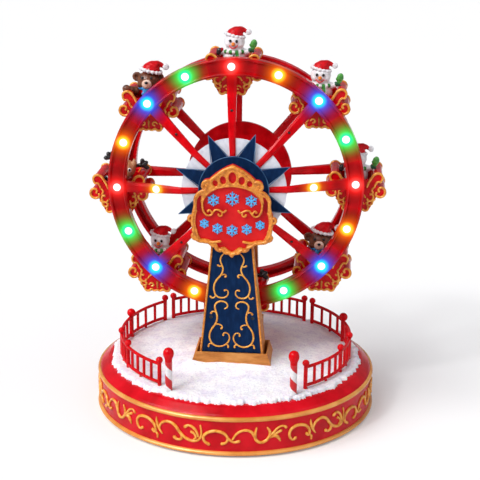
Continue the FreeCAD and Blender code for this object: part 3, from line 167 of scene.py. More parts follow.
def clouds(tree, scale, detail=3.0, rough=0.55, stretch=None):
    """A noise texture; scale is in features a millimetre."""
    texture = add(tree, "TexNoise", Scale=scale * 1000.0, Detail=detail, Roughness=rough)
    source = place(tree)
    if stretch:
        mapping = add(tree, "Mapping", Scale=stretch)
        wire(tree, source, mapping, 0)
        source = mapping.outputs[0]
    wire(tree, source, texture, "Vector")
    return texture.outputs[0]


def roughen(tree, shader, low, high):
    """Roughness that wanders between two values."""
    wire(tree, remap(tree, clouds(tree, 0.35), To_Min=low, To_Max=high), shader, "Roughness")


def bumps(tree, shader, heights):
    """Bump from one or more (height socket, depth in millimetres, strength)."""
    last = None
    for height, depth, strength in heights:
        node = add(tree, "Bump", Distance=depth * MM, Strength=strength)
        wire(tree, height, node, "Height")
        if last:
            wire(tree, last, node, "Normal")
        last = node.outputs[0]
    wire(tree, last, shader, "Normal")


def painted(name, dark, middle, light, scale=0.12, rough=(0.3, 0.45), metal=0.0, coat=0.0, grain=1.6,
            depth=0.05, wave=0.25, stretch=None, shine=0.4):
    """Painted or moulded plastic: cloudy colour, uneven gloss, fine grain and a slight waviness."""
    material, tree, shader = new_material(name)
    colour = ramp(tree, clouds(tree, scale, stretch=stretch), [(0.3, dark), (0.5, middle), (0.72, light)])
    wire(tree, colour, shader, "Base Color")
    tune(shader, Metallic=metal, Specular_IOR_Level=shine, Coat_Weight=coat, Coat_Roughness=0.12)
    roughen(tree, shader, *rough)
    bumps(tree, shader, [(clouds(tree, wave, 2.0), 0.12, 0.35), (clouds(tree, grain, 2.0), depth, 0.25)])
    return material


RED = ((0.46, 0.0, 0.002), (0.62, 0.001, 0.005), (0.74, 0.003, 0.008))
NAVY = ((0.0015, 0.013, 0.05), (0.002, 0.018, 0.068), (0.005, 0.027, 0.094))

red = painted("gloss_red", *RED, rough=(0.16, 0.28), coat=0.08, depth=0.03, shine=0.12)
deck_red = painted("deck_red", (0.44, 0.0, 0.004), (0.58, 0.001, 0.008), (0.7, 0.004, 0.014), scale=0.05,
    rough=(0.18, 0.3), coat=0.1, wave=0.12, depth=0.02, shine=0.15)
gold = painted("antique_gold", (0.5, 0.14, 0.01), (0.74, 0.25, 0.024), (0.92, 0.38, 0.05), scale=0.3,
    rough=(0.2, 0.34), metal=0.15, grain=1.2, depth=0.05, shine=0.6)
scroll_gold = painted("scroll_gold", (0.6, 0.2, 0.018), (0.84, 0.35, 0.042), (0.96, 0.5, 0.09), scale=0.3,
    rough=(0.18, 0.3), metal=0.1, grain=1.2, depth=0.04, shine=0.6)
ring_gold = painted("ring_gold", (0.66, 0.22, 0.03), (0.8, 0.32, 0.06), (0.9, 0.42, 0.1), scale=0.06,
    rough=(0.16, 0.26), metal=0.2, wave=0.1, depth=0.02, shine=0.7)
ochre = painted("ochre_paint", (0.4, 0.13, 0.024), (0.58, 0.22, 0.05), (0.7, 0.31, 0.085), scale=0.16,
    rough=(0.38, 0.55), metal=0.05, depth=0.08, stretch=(0.5, 0.5, 1.6), shine=0.2)
navy = painted("navy_paint", *NAVY, scale=0.22, rough=(0.45, 0.6), depth=0.06, stretch=(2.0, 1.0, 0.6),
    shine=0.08)
# Lighter blue of the star's edge tubes: a painted highlight on the edges.
edge_highlight_blue = painted("edge_highlight_blue", (0.012, 0.05, 0.13), (0.03, 0.11, 0.25), (0.07, 0.2, 0.38))
disc_white = painted("disc_white", (0.66, 0.68, 0.78), (0.76, 0.78, 0.86), (0.82, 0.84, 0.9), scale=0.3,
    rough=(0.5, 0.65), grain=1.0, depth=0.06)
black = painted("black_plastic", (0.01, 0.01, 0.011), (0.022, 0.022, 0.024), (0.04, 0.04, 0.042),
    rough=(0.4, 0.6), grain=2.2, depth=0.06)
rubber = painted("rubber", (0.012, 0.012, 0.012), (0.025, 0.025, 0.025), (0.05, 0.05, 0.05),
    rough=(0.7, 0.85))
dark_steel = painted("dark_steel", (0.012, 0.01, 0.01), (0.03, 0.026, 0.026), (0.07, 0.06, 0.06), scale=0.5,
    metal=0.6)
steel = painted("steel", (0.42, 0.43, 0.45), (0.55, 0.56, 0.58), (0.66, 0.67, 0.68), rough=(0.22, 0.38),
    metal=1.0, stretch=(1.0, 6.0, 1.0))
brass = painted("brass", (0.44, 0.28, 0.08), (0.62, 0.42, 0.14), (0.74, 0.54, 0.22), rough=(0.25, 0.4),
    metal=1.0)
board_green = painted("board_green", (0.01, 0.11, 0.035), (0.02, 0.2, 0.06), (0.05, 0.3, 0.1), scale=0.5)
cell_sleeve = painted("cell_sleeve", (0.05, 0.06, 0.05), (0.09, 0.11, 0.09), (0.15, 0.17, 0.15),
    rough=(0.22, 0.35), metal=0.4)
sign_red = painted("sign_red", (0.5, 0.003, 0.006), (0.64, 0.008, 0.01), (0.74, 0.016, 0.016), scale=0.06,
    coat=0.05, shine=0.15)
# Darker red of the crescents on the shield's sides: painted shade.
crescent_shade_red = painted("crescent_shade_red", (0.2, 0.002, 0.004), (0.28, 0.003, 0.006), (0.36, 0.006, 0.01),
    rough=(0.25, 0.4), shine=0.1)
sky_blue = painted("sky_blue", (0.03, 0.3, 0.72), (0.07, 0.44, 0.88), (0.18, 0.58, 0.95), scale=0.8)
figure_white = painted("figure_white", (0.7, 0.68, 0.72), (0.82, 0.81, 0.83), (0.88, 0.88, 0.89), scale=0.25,
    rough=(0.35, 0.5), coat=0.15)
fur_white = painted("fur_white", (0.58, 0.57, 0.62), (0.78, 0.78, 0.8), (0.88, 0.88, 0.88), scale=0.8,
    rough=(0.6, 0.8), grain=1.0, depth=0.3)
hat_red = painted("hat_red", (0.3, 0.001, 0.003), (0.56, 0.003, 0.008), (0.72, 0.01, 0.018), scale=0.3,
    rough=(0.28, 0.4), coat=0.06, shine=0.15)
brown = painted("figure_brown", (0.06, 0.018, 0.008), (0.15, 0.045, 0.018), (0.25, 0.085, 0.035), scale=0.3,
    rough=(0.35, 0.5), coat=0.15)
tan = painted("figure_tan", (0.34, 0.14, 0.06), (0.5, 0.24, 0.11), (0.62, 0.34, 0.18), scale=0.4,
    rough=(0.4, 0.55))
cream = painted("muzzle_cream", (0.66, 0.36, 0.26), (0.8, 0.54, 0.42), (0.86, 0.7, 0.6), scale=0.3,
    rough=(0.4, 0.55))
figure_black = painted("figure_black", (0.006, 0.006, 0.007), (0.014, 0.013, 0.014), (0.035, 0.03, 0.03),
    scale=0.6, rough=(0.2, 0.35), coat=0.3)
orange = painted("carrot_orange", (0.7, 0.13, 0.01), (0.86, 0.22, 0.02), (0.92, 0.36, 0.06), scale=0.8)
pink = painted("smile_pink", (0.62, 0.05, 0.06), (0.78, 0.1, 0.11), (0.85, 0.2, 0.2), scale=0.8,
    rough=(0.35, 0.5))
leaf_green = painted("mitten_green", (0.02, 0.15, 0.02), (0.05, 0.28, 0.035), (0.12, 0.42, 0.08), scale=0.35,
    rough=(0.28, 0.42), coat=0.2)
pine_green = painted("cuff_green", (0.004, 0.05, 0.02), (0.008, 0.1, 0.035), (0.02, 0.17, 0.06), scale=0.4,
    rough=(0.35, 0.5))
scarf_blue = painted("scarf_blue", (0.02, 0.16, 0.44), (0.04, 0.28, 0.66), (0.12, 0.42, 0.8), scale=0.35,
    rough=(0.4, 0.55))
trousers = painted("trouser_navy", *NAVY, scale=0.3, rough=(0.45, 0.6))


def snow_material():
    """White flock: painted pale lavender shade in cloudy patches, tiny crystals and soft lumps."""
    material, tree, shader = new_material("flocked_snow")
    # The darker lavender stops are painted shade, spread in cloudy patches by noise.
    stops = [(0.34, (0.82, 0.80, 0.90)), (0.5, (0.93, 0.93, 0.97)), (0.62, (0.97, 0.98, 1.0))]
    colour = ramp(tree, clouds(tree, 0.09, 4.0), stops)
    specks = ramp(tree, clouds(tree, 0.6, 4.0, 0.7), [(0.36, (0.80, 0.78, 0.86)), (0.5, WHITE)])
    wire(tree, mixed(tree, 1.0, colour, specks, "MULTIPLY"), shader, "Base Color")
    tune(shader, Roughness=0.85, Sheen_Weight=0.25, Subsurface_Weight=0.15, Subsurface_Scale=0.002)
    bumps(tree, shader, [(clouds(tree, 0.28, 4.0), 1.0, 0.7), (clouds(tree, 1.1, 4.0, 0.7), 0.6, 0.9)])
    return material


def striped(name, first, second, rings, lean, rough=(0.25, 0.4)):
    """Two colours in stripes round the local Z axis: rings a millimetre upward, lean turns round."""
    material, tree, shader = new_material(name)
    x, y, z = axes(tree)
    turns = calc(tree, "MULTIPLY", calc(tree, "ARCTAN2", y, x), lean / (2.0 * pi))
    climb = calc(tree, "MULTIPLY", z, rings * 1000.0)
    wobble = calc(tree, "MULTIPLY", calc(tree, "SUBTRACT", clouds(tree, 0.4), 0.5), 0.12)
    phase = calc(tree, "ADD", calc(tree, "ADD", turns, climb), wobble)
    share = calc(tree, "FRACT", calc(tree, "ADD", phase, 100.0))
    colour = ramp(tree, share, [(0.0, first), (0.47, first), (0.5, second), (0.97, second), (1.0, first)])
    shade = ramp(tree, clouds(tree, 0.5), [(0.3, (0.82, 0.82, 0.82)), (0.6, WHITE)])
    wire(tree, mixed(tree, 1.0, colour, shade, "MULTIPLY"), shader, "Base Color")
    roughen(tree, shader, *rough)
    bumps(tree, shader, [(clouds(tree, 1.2), 0.08, 0.4)])
    return material


LAMP_COLOURS = ((1.0, 0.012, 0.01), (0.02, 0.9, 0.08), (0.01, 0.1, 1.0), (1.0, 0.13, 0.0))
LAMP_CORES = ((1.0, 0.06, 0.05), (0.01, 1.0, 0.3), (0.0, 0.62, 1.0), (1.0, 0.55, 0.02))
# Distances in metres from a lamp's middle where the bright core and white middle of the glow painted round
# it on the rim are gone and are full
CORE_EDGE = (0.0068, 0.0036)
LENS_EDGE = (0.0033, 0.0021)


def nearness(tree, distance, far, near):
    """One within the near distance, nought past the far one."""
    return remap(tree, distance, {"interpolation_type": "SMOOTHSTEP"}, From_Min=far, From_Max=near)


def length(tree, a, b):
    """Length of a flat vector."""
    return calc(tree, "SQRT", calc(tree, "ADD", calc(tree, "MULTIPLY", a, a), calc(tree, "MULTIPLY", b, b)))


def lamp_light(tree):
    """Distance to the nearest rim lamp, its colour, distance to the nearest spoke lamp, and depth."""
    def do(*terms):
        return calc(tree, *terms)

    x, y, height = axes(tree)
    z = do("SUBTRACT", height, HUB * MM)
    step = radians(22.5)
    steps = do("DIVIDE", do("SUBTRACT", do("ARCTAN2", z, x), radians(90.0 + TURN)), step)
    nearest = do("ROUND", steps)
    off = do("MULTIPLY", do("SUBTRACT", steps, nearest), step * LAMP_CIRCLE * MM)
    out = do("SUBTRACT", length(tree, x, z), LAMP_CIRCLE * MM)
    away = length(tree, off, out)
    kind = do("DIVIDE", do("FLOORED_MODULO", do("ADD", nearest, 0.01), 4.0), 4.0)
    outer, inner = (ramp(tree, kind, [(0.25 * i, colour) for i, colour in enumerate(colours)], "CONSTANT")
                    for colours in (LAMP_COLOURS, LAMP_CORES))
    colour = mixed(tree, nearness(tree, away, *CORE_EDGE), outer, inner)
    c, s = cos(radians(TURN)), sin(radians(TURN))
    along = do("ADD", do("MULTIPLY", x, c), do("MULTIPLY", z, s))
    across = do("SUBTRACT", do("MULTIPLY", z, c), do("MULTIPLY", x, s))
    spoke = length(tree, do("SUBTRACT", do("ABSOLUTE", along), SPOKE_LAMP * MM), across)
    return away, colour, spoke, y


def glowing_red(name, coat, rough):
    """Glossy red of the front wheel half and its beads, with a painted glow and painted lamp light round
    each lamp in the lamp's colour.
    """
    material = painted(name, *RED, rough=rough, coat=coat, depth=0.02, shine=0.08)
    tree = material.node_tree
    shader = tree.nodes["Principled BSDF"]
    away, colour, spoke, depth = lamp_light(tree)

    def do(*terms):
        return calc(tree, *terms)

    def fall(distance, reach, power):
        share = do("SUBTRACT", 1.0, do("MINIMUM", do("DIVIDE", distance, reach * MM), 1.0))
        return do("POWER", share, power)

    front = remap(tree, depth, From_Min=-0.0135, From_Max=-0.0165)
    # Painted glow: emission on the red round each rim lamp and spoke lamp, strongest at the lamp's middle.
    painted_halo = do("MULTIPLY", fall(away, 17.0, 2.7), 2.6)
    painted_spoke_halo = do("MULTIPLY", fall(spoke, 14.0, 2.4), 2.0)
    core, spoke_core = (nearness(tree, distance, *LENS_EDGE) for distance in (away, spoke))
    amber = mixed(tree, nearness(tree, spoke, *CORE_EDGE), LAMP_COLOURS[3], LAMP_CORES[3])
    light = mixed(tree, core, colour, WHITE)
    amber = mixed(tree, spoke_core, amber, (1.0, 0.95, 0.8))
    glow = mixed(tree, do("LESS_THAN", spoke, away), light, amber)
    wire(tree, glow, shader, "Emission Color")
    strength = do("MAXIMUM", do("ADD", painted_halo, core), do("ADD", painted_spoke_halo, spoke_core))
    wire(tree, do("MULTIPLY", strength, front), shader, "Emission Strength")
    # Painted lamp light: near each lamp the red base colour is mixed toward a dark copy of the lamp's
    # colour.
    base = shader.inputs["Base Color"].links[0].from_socket
    tinted = mixed(tree, 1.0, glow, (0.06, 0.06, 0.06), "MULTIPLY")
    shade = do("MAXIMUM", fall(away, 19.5, 0.7), fall(spoke, 14.0, 1.0))
    reach = do("MULTIPLY", do("MINIMUM", do("MULTIPLY", shade, 1.12), 1.0), front)
    wire(tree, mixed(tree, reach, base, tinted), shader, "Base Color")
    return material


def lens_material(name, tint):
    """A lit lens: white in its middle and tinted at its edge."""
    material, tree, shader = new_material(name)
    away, _, spoke, _ = lamp_light(tree)
    share = remap(tree, calc(tree, "MINIMUM", away, spoke), From_Min=0.0006, From_Max=0.0024)
    pale = tuple(0.5 + 0.5 * c for c in tint)
    shade = ramp(tree, share, [(0.0, WHITE), (0.75, pale), (1.0, tint)])
    wire(tree, shade, shader, "Base Color")
    wire(tree, shade, shader, "Emission Color")
    tune(shader, Emission_Strength=2.0, Roughness=0.12)
    bumps(tree, shader, [(clouds(tree, 1.5), 0.03, 0.2)])
    return material


wheel_red = glowing_red("wheel_red", 0.06, (0.14, 0.24))
bead_red = glowing_red("bead_red", 0.4, (0.10, 0.16))
snow = snow_material()
candy = striped("candy_stripes", (0.6, 0.006, 0.012), (0.8, 0.8, 0.82), 1.0 / 15.5, 1.0)
green_scarf = striped("green_scarf", (0.82, 0.84, 0.82), (0.035, 0.26, 0.03), 0.0, 11.0, rough=(0.4, 0.55))
lens = {name: lens_material("lens_" + name, tint) for name, tint in
        zip(("white", "green", "blue", "amber"), LAMP_COLOURS)}

BY_SLOT = {
    "red_plastic": red, "gold_plastic": gold, "ochre_plastic": ochre, "navy_plastic": navy,
    "white_plastic": disc_white, "snow": snow, "black_plastic": black, "sign_red": sign_red, "steel": steel,
    "rubber": rubber, "cell": cell_sleeve, "brass": brass, "board_green": board_green,
    "figure_white": figure_white, "figure_brown": brown,
    **{"light_" + name: material for name, material in lens.items()},
}
BY_NODE = {"base_shell": deck_red, "wheel_front": wheel_red, "housing_screws": dark_steel}


def dress_nodes():
    """Give every CAD node its material, and soften the edges of the moulded ones."""
    for part in record["subparts"]:
        node = nodes[part["node"]]
        node.data.materials.clear()
        node.data.materials.append(BY_NODE.get(part["node"], BY_SLOT[part["material_slot"]]))
    widths = {"wheel_front": 0.45, "wheel_rear": 0.5, "front_tower_housing": 0.3, "front_plinth": 0.3,
              "rear_plinth": 0.7, "rear_post": 0.5, "rear_post_cover": 0.5, "sign_frame": 0.5,
              "sign_board": 0.4, "star_cover": 0.18, "front_disc": 0.3, "hub_drum": 0.4,
              "power_switch_knob": 0.4, **{f"gondola_seat_{number}": 0.5 for number in range(1, 9)}}
    for name, width in widths.items():
        bevel = nodes[name].modifiers.new("SoftEdges", "BEVEL")
        bevel.width = width * MM
        bevel.segments = 2
        bevel.limit_method = "ANGLE"
        bevel.angle_limit = radians(35)


# Pieces

def circle(count):
    """Cosine and sine of even steps round a circle."""
    angles = [2.0 * pi * i / count for i in range(count)]
    return [(cos(angle), sin(angle)) for angle in angles]


def hoop(reach, y, thick, count):
    """A closed path round the hub."""
    ring = [(reach * c, y, HUB + reach * s, thick) for c, s in circle(count)]
    return ring + ring[:1]


def link(name, data, material=None, body=None, spot=None):
    """A new object, on a body where one is given; its data may be shared."""
    thing = bpy.data.objects.new(name, data)
    if spot:
        thing.location = spot
    scene.collection.objects.link(thing)
    if material and not data.materials:
        data.materials.append(material)
    if body:
        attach(thing, body)
    return thing


def mesh_data(name, points, faces, smooth=True):
    """A mesh from points in millimetres."""
    data = bpy.data.meshes.new(name)
    data.from_pydata([Vector(p) * MM for p in points], [], faces)
    data.update()
    for polygon in data.polygons:
        polygon.use_smooth = smooth
    return data


def lathe_data(name, profile, segments):
    """Turn a profile of (radius, height) round Z."""
    points = [(r * c, r * s, z) for c, s in circle(segments) for r, z in profile]
    faces = []
    rows = len(profile)
    for i in range(segments):
        low, high = i * rows, (i + 1) % segments * rows
        faces += [(low + k, high + k, high + k + 1, low + k + 1) for k in range(rows - 1)]
    return mesh_data(name, points, faces)


def bands(start, rows, around):
    """Faces between rows of points that each run once round."""
    faces = []
    for row in range(rows - 1):
        low = start + row * around
        high = low + around
        for i in range(around):
            after = (i + 1) % around
            faces.append((low + i, high + i, high + after, low + after))
    return faces


def settled(name, data, modify=None):
    """The final mesh of a curve or of a mesh with modifiers."""
    holder = bpy.data.objects.new(name + "_form", data)
    scene.collection.objects.link(holder)
    if modify:
        modify(holder)
    bpy.context.view_layer.update()
    graph = bpy.context.evaluated_depsgraph_get()
    shape = bpy.data.meshes.new_from_object(holder.evaluated_get(graph))
    shape.name = name
    for polygon in shape.polygons:
        polygon.use_smooth = True
    bpy.data.objects.remove(holder)
    return shape


def tube_data(name, paths):
    """Round tubes through points (x, y, z, radius), all in millimetres, with rounded ends."""
    data = bpy.data.curves.new(name, "CURVE")
    data.dimensions = "3D"
    data.bevel_depth = MM
    data.bevel_resolution = 2
    data.resolution_u = 6
    data.use_fill_caps = True
    for path in paths:
        closed = path[0] == path[-1]
        points = [(Vector(p[:3]), p[3]) for p in (path[:-1] if closed else path)]
        if not closed:
            for end, inner in ((0, 1), (-1, -2)):
                tip, radius = points[end]
                out = (tip - points[inner][0]).normalized()
                cap = (tip + out * radius * 0.65, radius * 0.45)
                if end == 0:
                    points.insert(0, cap)
                else:
                    points.append(cap)
        spline = data.splines.new("BEZIER")
        spline.bezier_points.add(len(points) - 1)
        spline.use_cyclic_u = closed
        for knot, (co, radius) in zip(spline.bezier_points, points):
            knot.co = co * MM
            knot.radius = radius
            knot.handle_left_type = knot.handle_right_type = "AUTO"
    return settled(name, data)


def tubes(name, paths, material, body):
    """Tubes as a piece of their own."""
    piece = link(name, tube_data(name, paths), material, body)


def mirrored(paths):
    """The paths and their mirror images across X = 0."""
    return paths + [[(-p[0], *p[1:]) for p in path] for path in paths]


def tapered(points, thick, thin=0.55, bulb=0.0, first=0.0):
    """Give a flat path radii: thick in the middle, and a bulb at its end or at its start."""
    last = len(points) - 1
    result = []
    for i, point in enumerate(points):
        share = i / last
        radius = thin + (thick - thin) * sin(pi * min(share * 1.15, 1.0)) ** 0.7
        if i == last and bulb:
            radius = bulb
        if i == 0 and first:
            radius = first
        result.append((*point, max(radius, thin)))
    return result


# One unit of the band's scrolls, unrolled: points, thickest and thinnest radius, bulbs at end and start
BAND_SCROLLS = (
    ([(14.6, 13.6), (16.2, 12.2), (17.2, 14.7), (15.8, 18.2), (12.5, 20.8), (8, 21.8), (4, 21.2),
      (0.8, 18.8), (0, 15.4), (0.9, 12.4), (3, 10.8), (5.2, 12)], 1.2, 0.85, 1.3, 1.3),
    ([(18, 24.2), (18.5, 20.2), (20, 16.2), (22.8, 12.2)], 1.15, 0.5),
    ([(16.8, 12.4), (18.8, 10.8), (18.8, 8.2)], 1, 0.6, 0.8),
    ([(20.5, 14.8), (21, 18.7), (24, 22), (28.5, 23.1), (33, 21.2), (36.5, 16.8), (41, 12.8),
      (46, 11.2), (50, 12.1), (52, 14.8), (52.6, 19.2), (51.9, 24.2)], 1.2, 0.7),
    ([(35.8, 17.2), (38, 14.2), (38, 11.8), (35.2, 10.4), (32.4, 11.8)], 1.05, 0.7, 1.35),
    ([(50.4, 14.8), (49.4, 18.2), (47, 21.6), (43.5, 23.1), (40.6, 21.6)], 1.1, 0.7, 1.3),
    ([(47, 12.4), (48.6, 14), (47.6, 16.8), (45.4, 18.4)], 0.95, 0.65, 1.1),
    ([(58, 9.8), (55, 11.8), (54, 15.2), (56, 18.2), (60, 20.4), (64.5, 20.6), (69, 18.8),
      (72, 14.6), (75.5, 12.4), (79, 13.2)], 1.2, 0.85, 1.3, 1.3),
    ([(69.4, 18.4), (71, 15.2), (69.8, 11.8), (67, 10.8)], 1, 0.65, 1.25),
    ([(74.5, 14.4), (77.5, 19.3), (82, 21.7), (86.7, 20.9), (89.7, 16.9), (91.2, 13.4), (94.2, 11.7),
      (97.7, 12.9), (100.2, 15.9), (103.7, 19.4), (106.7, 22.5), (110.7, 23.1), (112.4, 21.7)], 1.2, 0.7,
      1.2),
    ([(91.2, 23.5), (90.2, 18.9), (90.7, 15.4)], 1.1, 0.6),
    ([(98.7, 23.3), (100.7, 18.9), (99.7, 15.9)], 1.15, 0.6),
    ([(102.7, 16.9), (105.7, 18.4), (108.7, 19.9)], 0.95, 0.6, 1.15),
    ([(100.7, 14.9), (104.4, 16.2), (106.8, 14.2), (108.2, 11.4)], 1.5, 0.55),
)


def base_pieces():
    """Smooth gold rings and scrollwork round the red band."""
    height, sunk = 3.6, 0.6
    bottom, top = (corner[2] for corner in corners("base_trim_rings"))
    for name, low, stand in (("gold_ring_low", bottom, 2.0), ("gold_ring_high", top - height, 1.5)):
        profile = [(WALL + stand * sin(pi * i / 12.0) ** 0.62, low + height * i / 12.0) for i in range(13)]
        profile = [(WALL - sunk, low)] + profile + [(WALL - sunk, low + height)]
        ring = link(name, lathe_data(name, profile, 240), ring_gold, "base")
        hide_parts("base_trim_rings")
    flat = [tapered(*line) for line in BAND_SCROLLS]
    repeat, drawn, reach = 113.1, 115.0, WALL + 0.35
    units = [(-71.7, 121.7)] + [(50.0 + repeat * i, repeat) for i in range(5)]
    paths = []
    for start, width in units:
        for path in flat:
            wrapped = []
            for u, z, radius in path:
                angle = (start + u * width / drawn) / WALL
                wrapped.append((reach * sin(angle), -reach * cos(angle), z, radius))
            paths.append(wrapped)
    tubes("band_scrollwork", paths, scroll_gold, "base")


def deck_surface(reach):
    """Height of the red shoulder under the snow's edge."""
    past = reach - DECK_RIM
    slope, blend = 0.734, 0.66
    return DECK - slope * (past + sqrt(past * past + blend)) / 2.0


def snow_piece():
    """The snow field: smooth and mounded inside, clumped and ragged at its edge."""
    around, calm, lip = 540, 86.0, 2.6
    rings = [i * 2.4 for i in range(1, 36)] + [calm + i * 0.62 for i in range(30)]
    knots = [(reach, DECK + height) for reach, height in
             ((0.0, 10.0), (46.0, 9.8), (66.0, 6.1), (85.0, 3.2), (200.0, 3.0))]

    def field(reach):
        for (r0, z0), (r1, z1) in zip(knots, knots[1:]):
            if reach <= r1:
                share = (reach - r0) / (r1 - r0)
                return z0 + (z1 - z0) * share
        return knots[-1][1]

    def edge(angle):
        spot = Vector((cos(angle), sin(angle), 0.3))
        ragged = 2.0 * noise.noise(spot * 19.0) + 2.4 * noise.noise(spot * 37.0)
        ragged += 2.6 * noise.noise(spot * 61.0)
        return 99.3 + 1.3 * noise.noise(spot * 7.0) + ragged

    def drift(x, y):
        """Snow blown up against the foot of the front tower, most at its near left corner."""
        aside = max(abs(x) - 30.9, 0.0)
        ahead = max(-44.6 - y, y + 12.4, 0.0)
        near = exp(-(aside * aside + ahead * ahead) / 14.0)
        corner = exp(-((x + 31.0) ** 2 + (y + 44.0) ** 2) / 60.0)
        return 0.9 * near + 2.6 * corner

    points = [(0.0, 0.0, DECK + 10.0)]
    last = rings[-1]
    for ring in rings:
        for i in range(around):
            angle = 2.0 * pi * i / around
            limit = edge(angle)
            reach = ring if ring < calm else calm + (ring - calm) * (limit - calm) / (last - calm)
            x = reach * cos(angle)
            y = reach * sin(angle)
            spot = Vector((x, y, 0.0))
            height = field(reach)
            height += 0.75 * noise.noise(spot * 0.055) + 0.3 * noise.noise(spot * 0.21) + drift(x, y)
            rough = min(max((reach - 84.0) / 10.0, 0.25), 1.0)
            height += rough * (0.35 * noise.noise(spot * 0.5) + 0.45 * noise.noise(spot * 0.95))
            inside = limit - reach
            if inside < lip:
                share = sqrt(max(1.0 - (1.0 - inside / lip) ** 2, 0.0))
                floor = deck_surface(reach) - 0.35
                height = floor + (height - floor) * share
            points.append((x, y, height))
    faces = [(0, 1 + i, 1 + (i + 1) % around) for i in range(around)] + bands(1, len(rings), around)

    def hidden(face):
        """Under a tower's foot."""
        x = sum(points[i][0] for i in face) / len(face)
        y = sum(points[i][1] for i in face) / len(face)
        front = abs(x) < 29.6 and -43.4 < y < -13.8
        rear = abs(x) < 17.5 and 39.9 < y < 53.9
        return front or rear

    faces = [face for face in faces if not hidden(face)]
    piece = link("snow_field", mesh_data("snow_field", points, faces), snow, "base")
    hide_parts("snow_ground")


def bollard_pieces():
    """Candy-striped bollards with egg-shaped heads."""
    head = [(0, 4.9), (1.5, 4.7), (2.9, 3.8), (3.85, 2.1), (4.1, 0.2), (3.8, -1.6), (3.1, -3.2),
            (2.75, -4.6), (2.7, -6)]
    head = [(r, z + 29.5) for r, z in head]
    column = [(2.7, 24.2), (2.72, 18), (2.7, 10), (2.74, 3), (2.7, -1)]
    heads = lathe_data("bollard_head", head, 48)
    columns = lathe_data("bollard_column", column, 48)
    for side, label in ((-1, "left"), (1, "right")):
        angle = radians(side * 29.2 + 2.3)
        spot = Vector((95.5 * sin(angle), -95.5 * cos(angle), DECK + 3.1)) * MM
        for data, material, kind in ((heads, red, "head"), (columns, candy, "column")):
            piece = link(f"bollard_{kind}_{label}", data, material, "base", spot)
            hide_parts("candy_bollards")


def tower_scrolls():
    """Gold relief scrolls on the blue panel, a taller pair over a broader pair."""
    face = PANEL_FACE + 0.05
    upper = [(-6.4, 136), (-8.6, 132.9), (-8.8, 129.7), (-7.6, 126.5), (-6.9, 123.3), (-8.5, 118.9),
             (-12, 114.4), (-13.7, 110), (-13.5, 105.6), (-11.8, 101.9), (-7.6, 100.5), (-4.2, 101.7),
             (-2.8, 104.5), (-3.8, 106.8), (-5.8, 106.6)]
    lower = [(-5.5, 91.7), (-3.6, 92.9), (-3.6, 95.6), (-6.2, 97.4), (-9.9, 97.3), (-12.6, 95),
             (-12.9, 91.9), (-11.7, 88.1), (-11.2, 84.2), (-12.4, 79.2), (-15.4, 74.6), (-17, 70.1),
             (-16.5, 65.6), (-13.9, 61.9), (-9.2, 60.6), (-4.5, 62.4), (-1.8, 66.2), (-2, 70),
             (-4.1, 71.9), (-6.2, 71.3), (-6.4, 69.7)]
    branches = [
        [(-7.6, 126.4), (-9.4, 125.9), (-10.9, 126.7)],
        [(-7.6, 118.9), (-5.7, 119.4), (-4.4, 118.3), (-5.2, 117.3)],
        [(-12.3, 102.4), (-14.6, 100.1), (-16.6, 101.3)],
        [(-12, 88.5), (-14.4, 89.1), (-16.1, 87.6)],
        [(-12.4, 78.8), (-9.4, 78.6), (-7.2, 76.8), (-8, 75.2)],
        [(-14.6, 62.3), (-17, 62.4), (-17.8, 60)],
        [(-4.6, 62.4), (-2.6, 61.6), (-2.5, 60)],
    ]
    paths = []
    for line, thick in [(upper, 0.72), (lower, 0.75)] + [(branch, 0.6) for branch in branches]:
        flat = tapered(line, thick, 0.5, 0.85)
        paths.append([(x, face, z, radius) for x, z, radius in flat])
    tubes("tower_scrolls", mirrored(paths), scroll_gold, "base")
    edge = [(x, PANEL_FACE - 0.4, z, 0.68) for x, z in ((-23.8, 57.2), (-19.6, 99), (-15.5, 140))]
    tubes("tower_edges", mirrored([edge]), gold, "base")


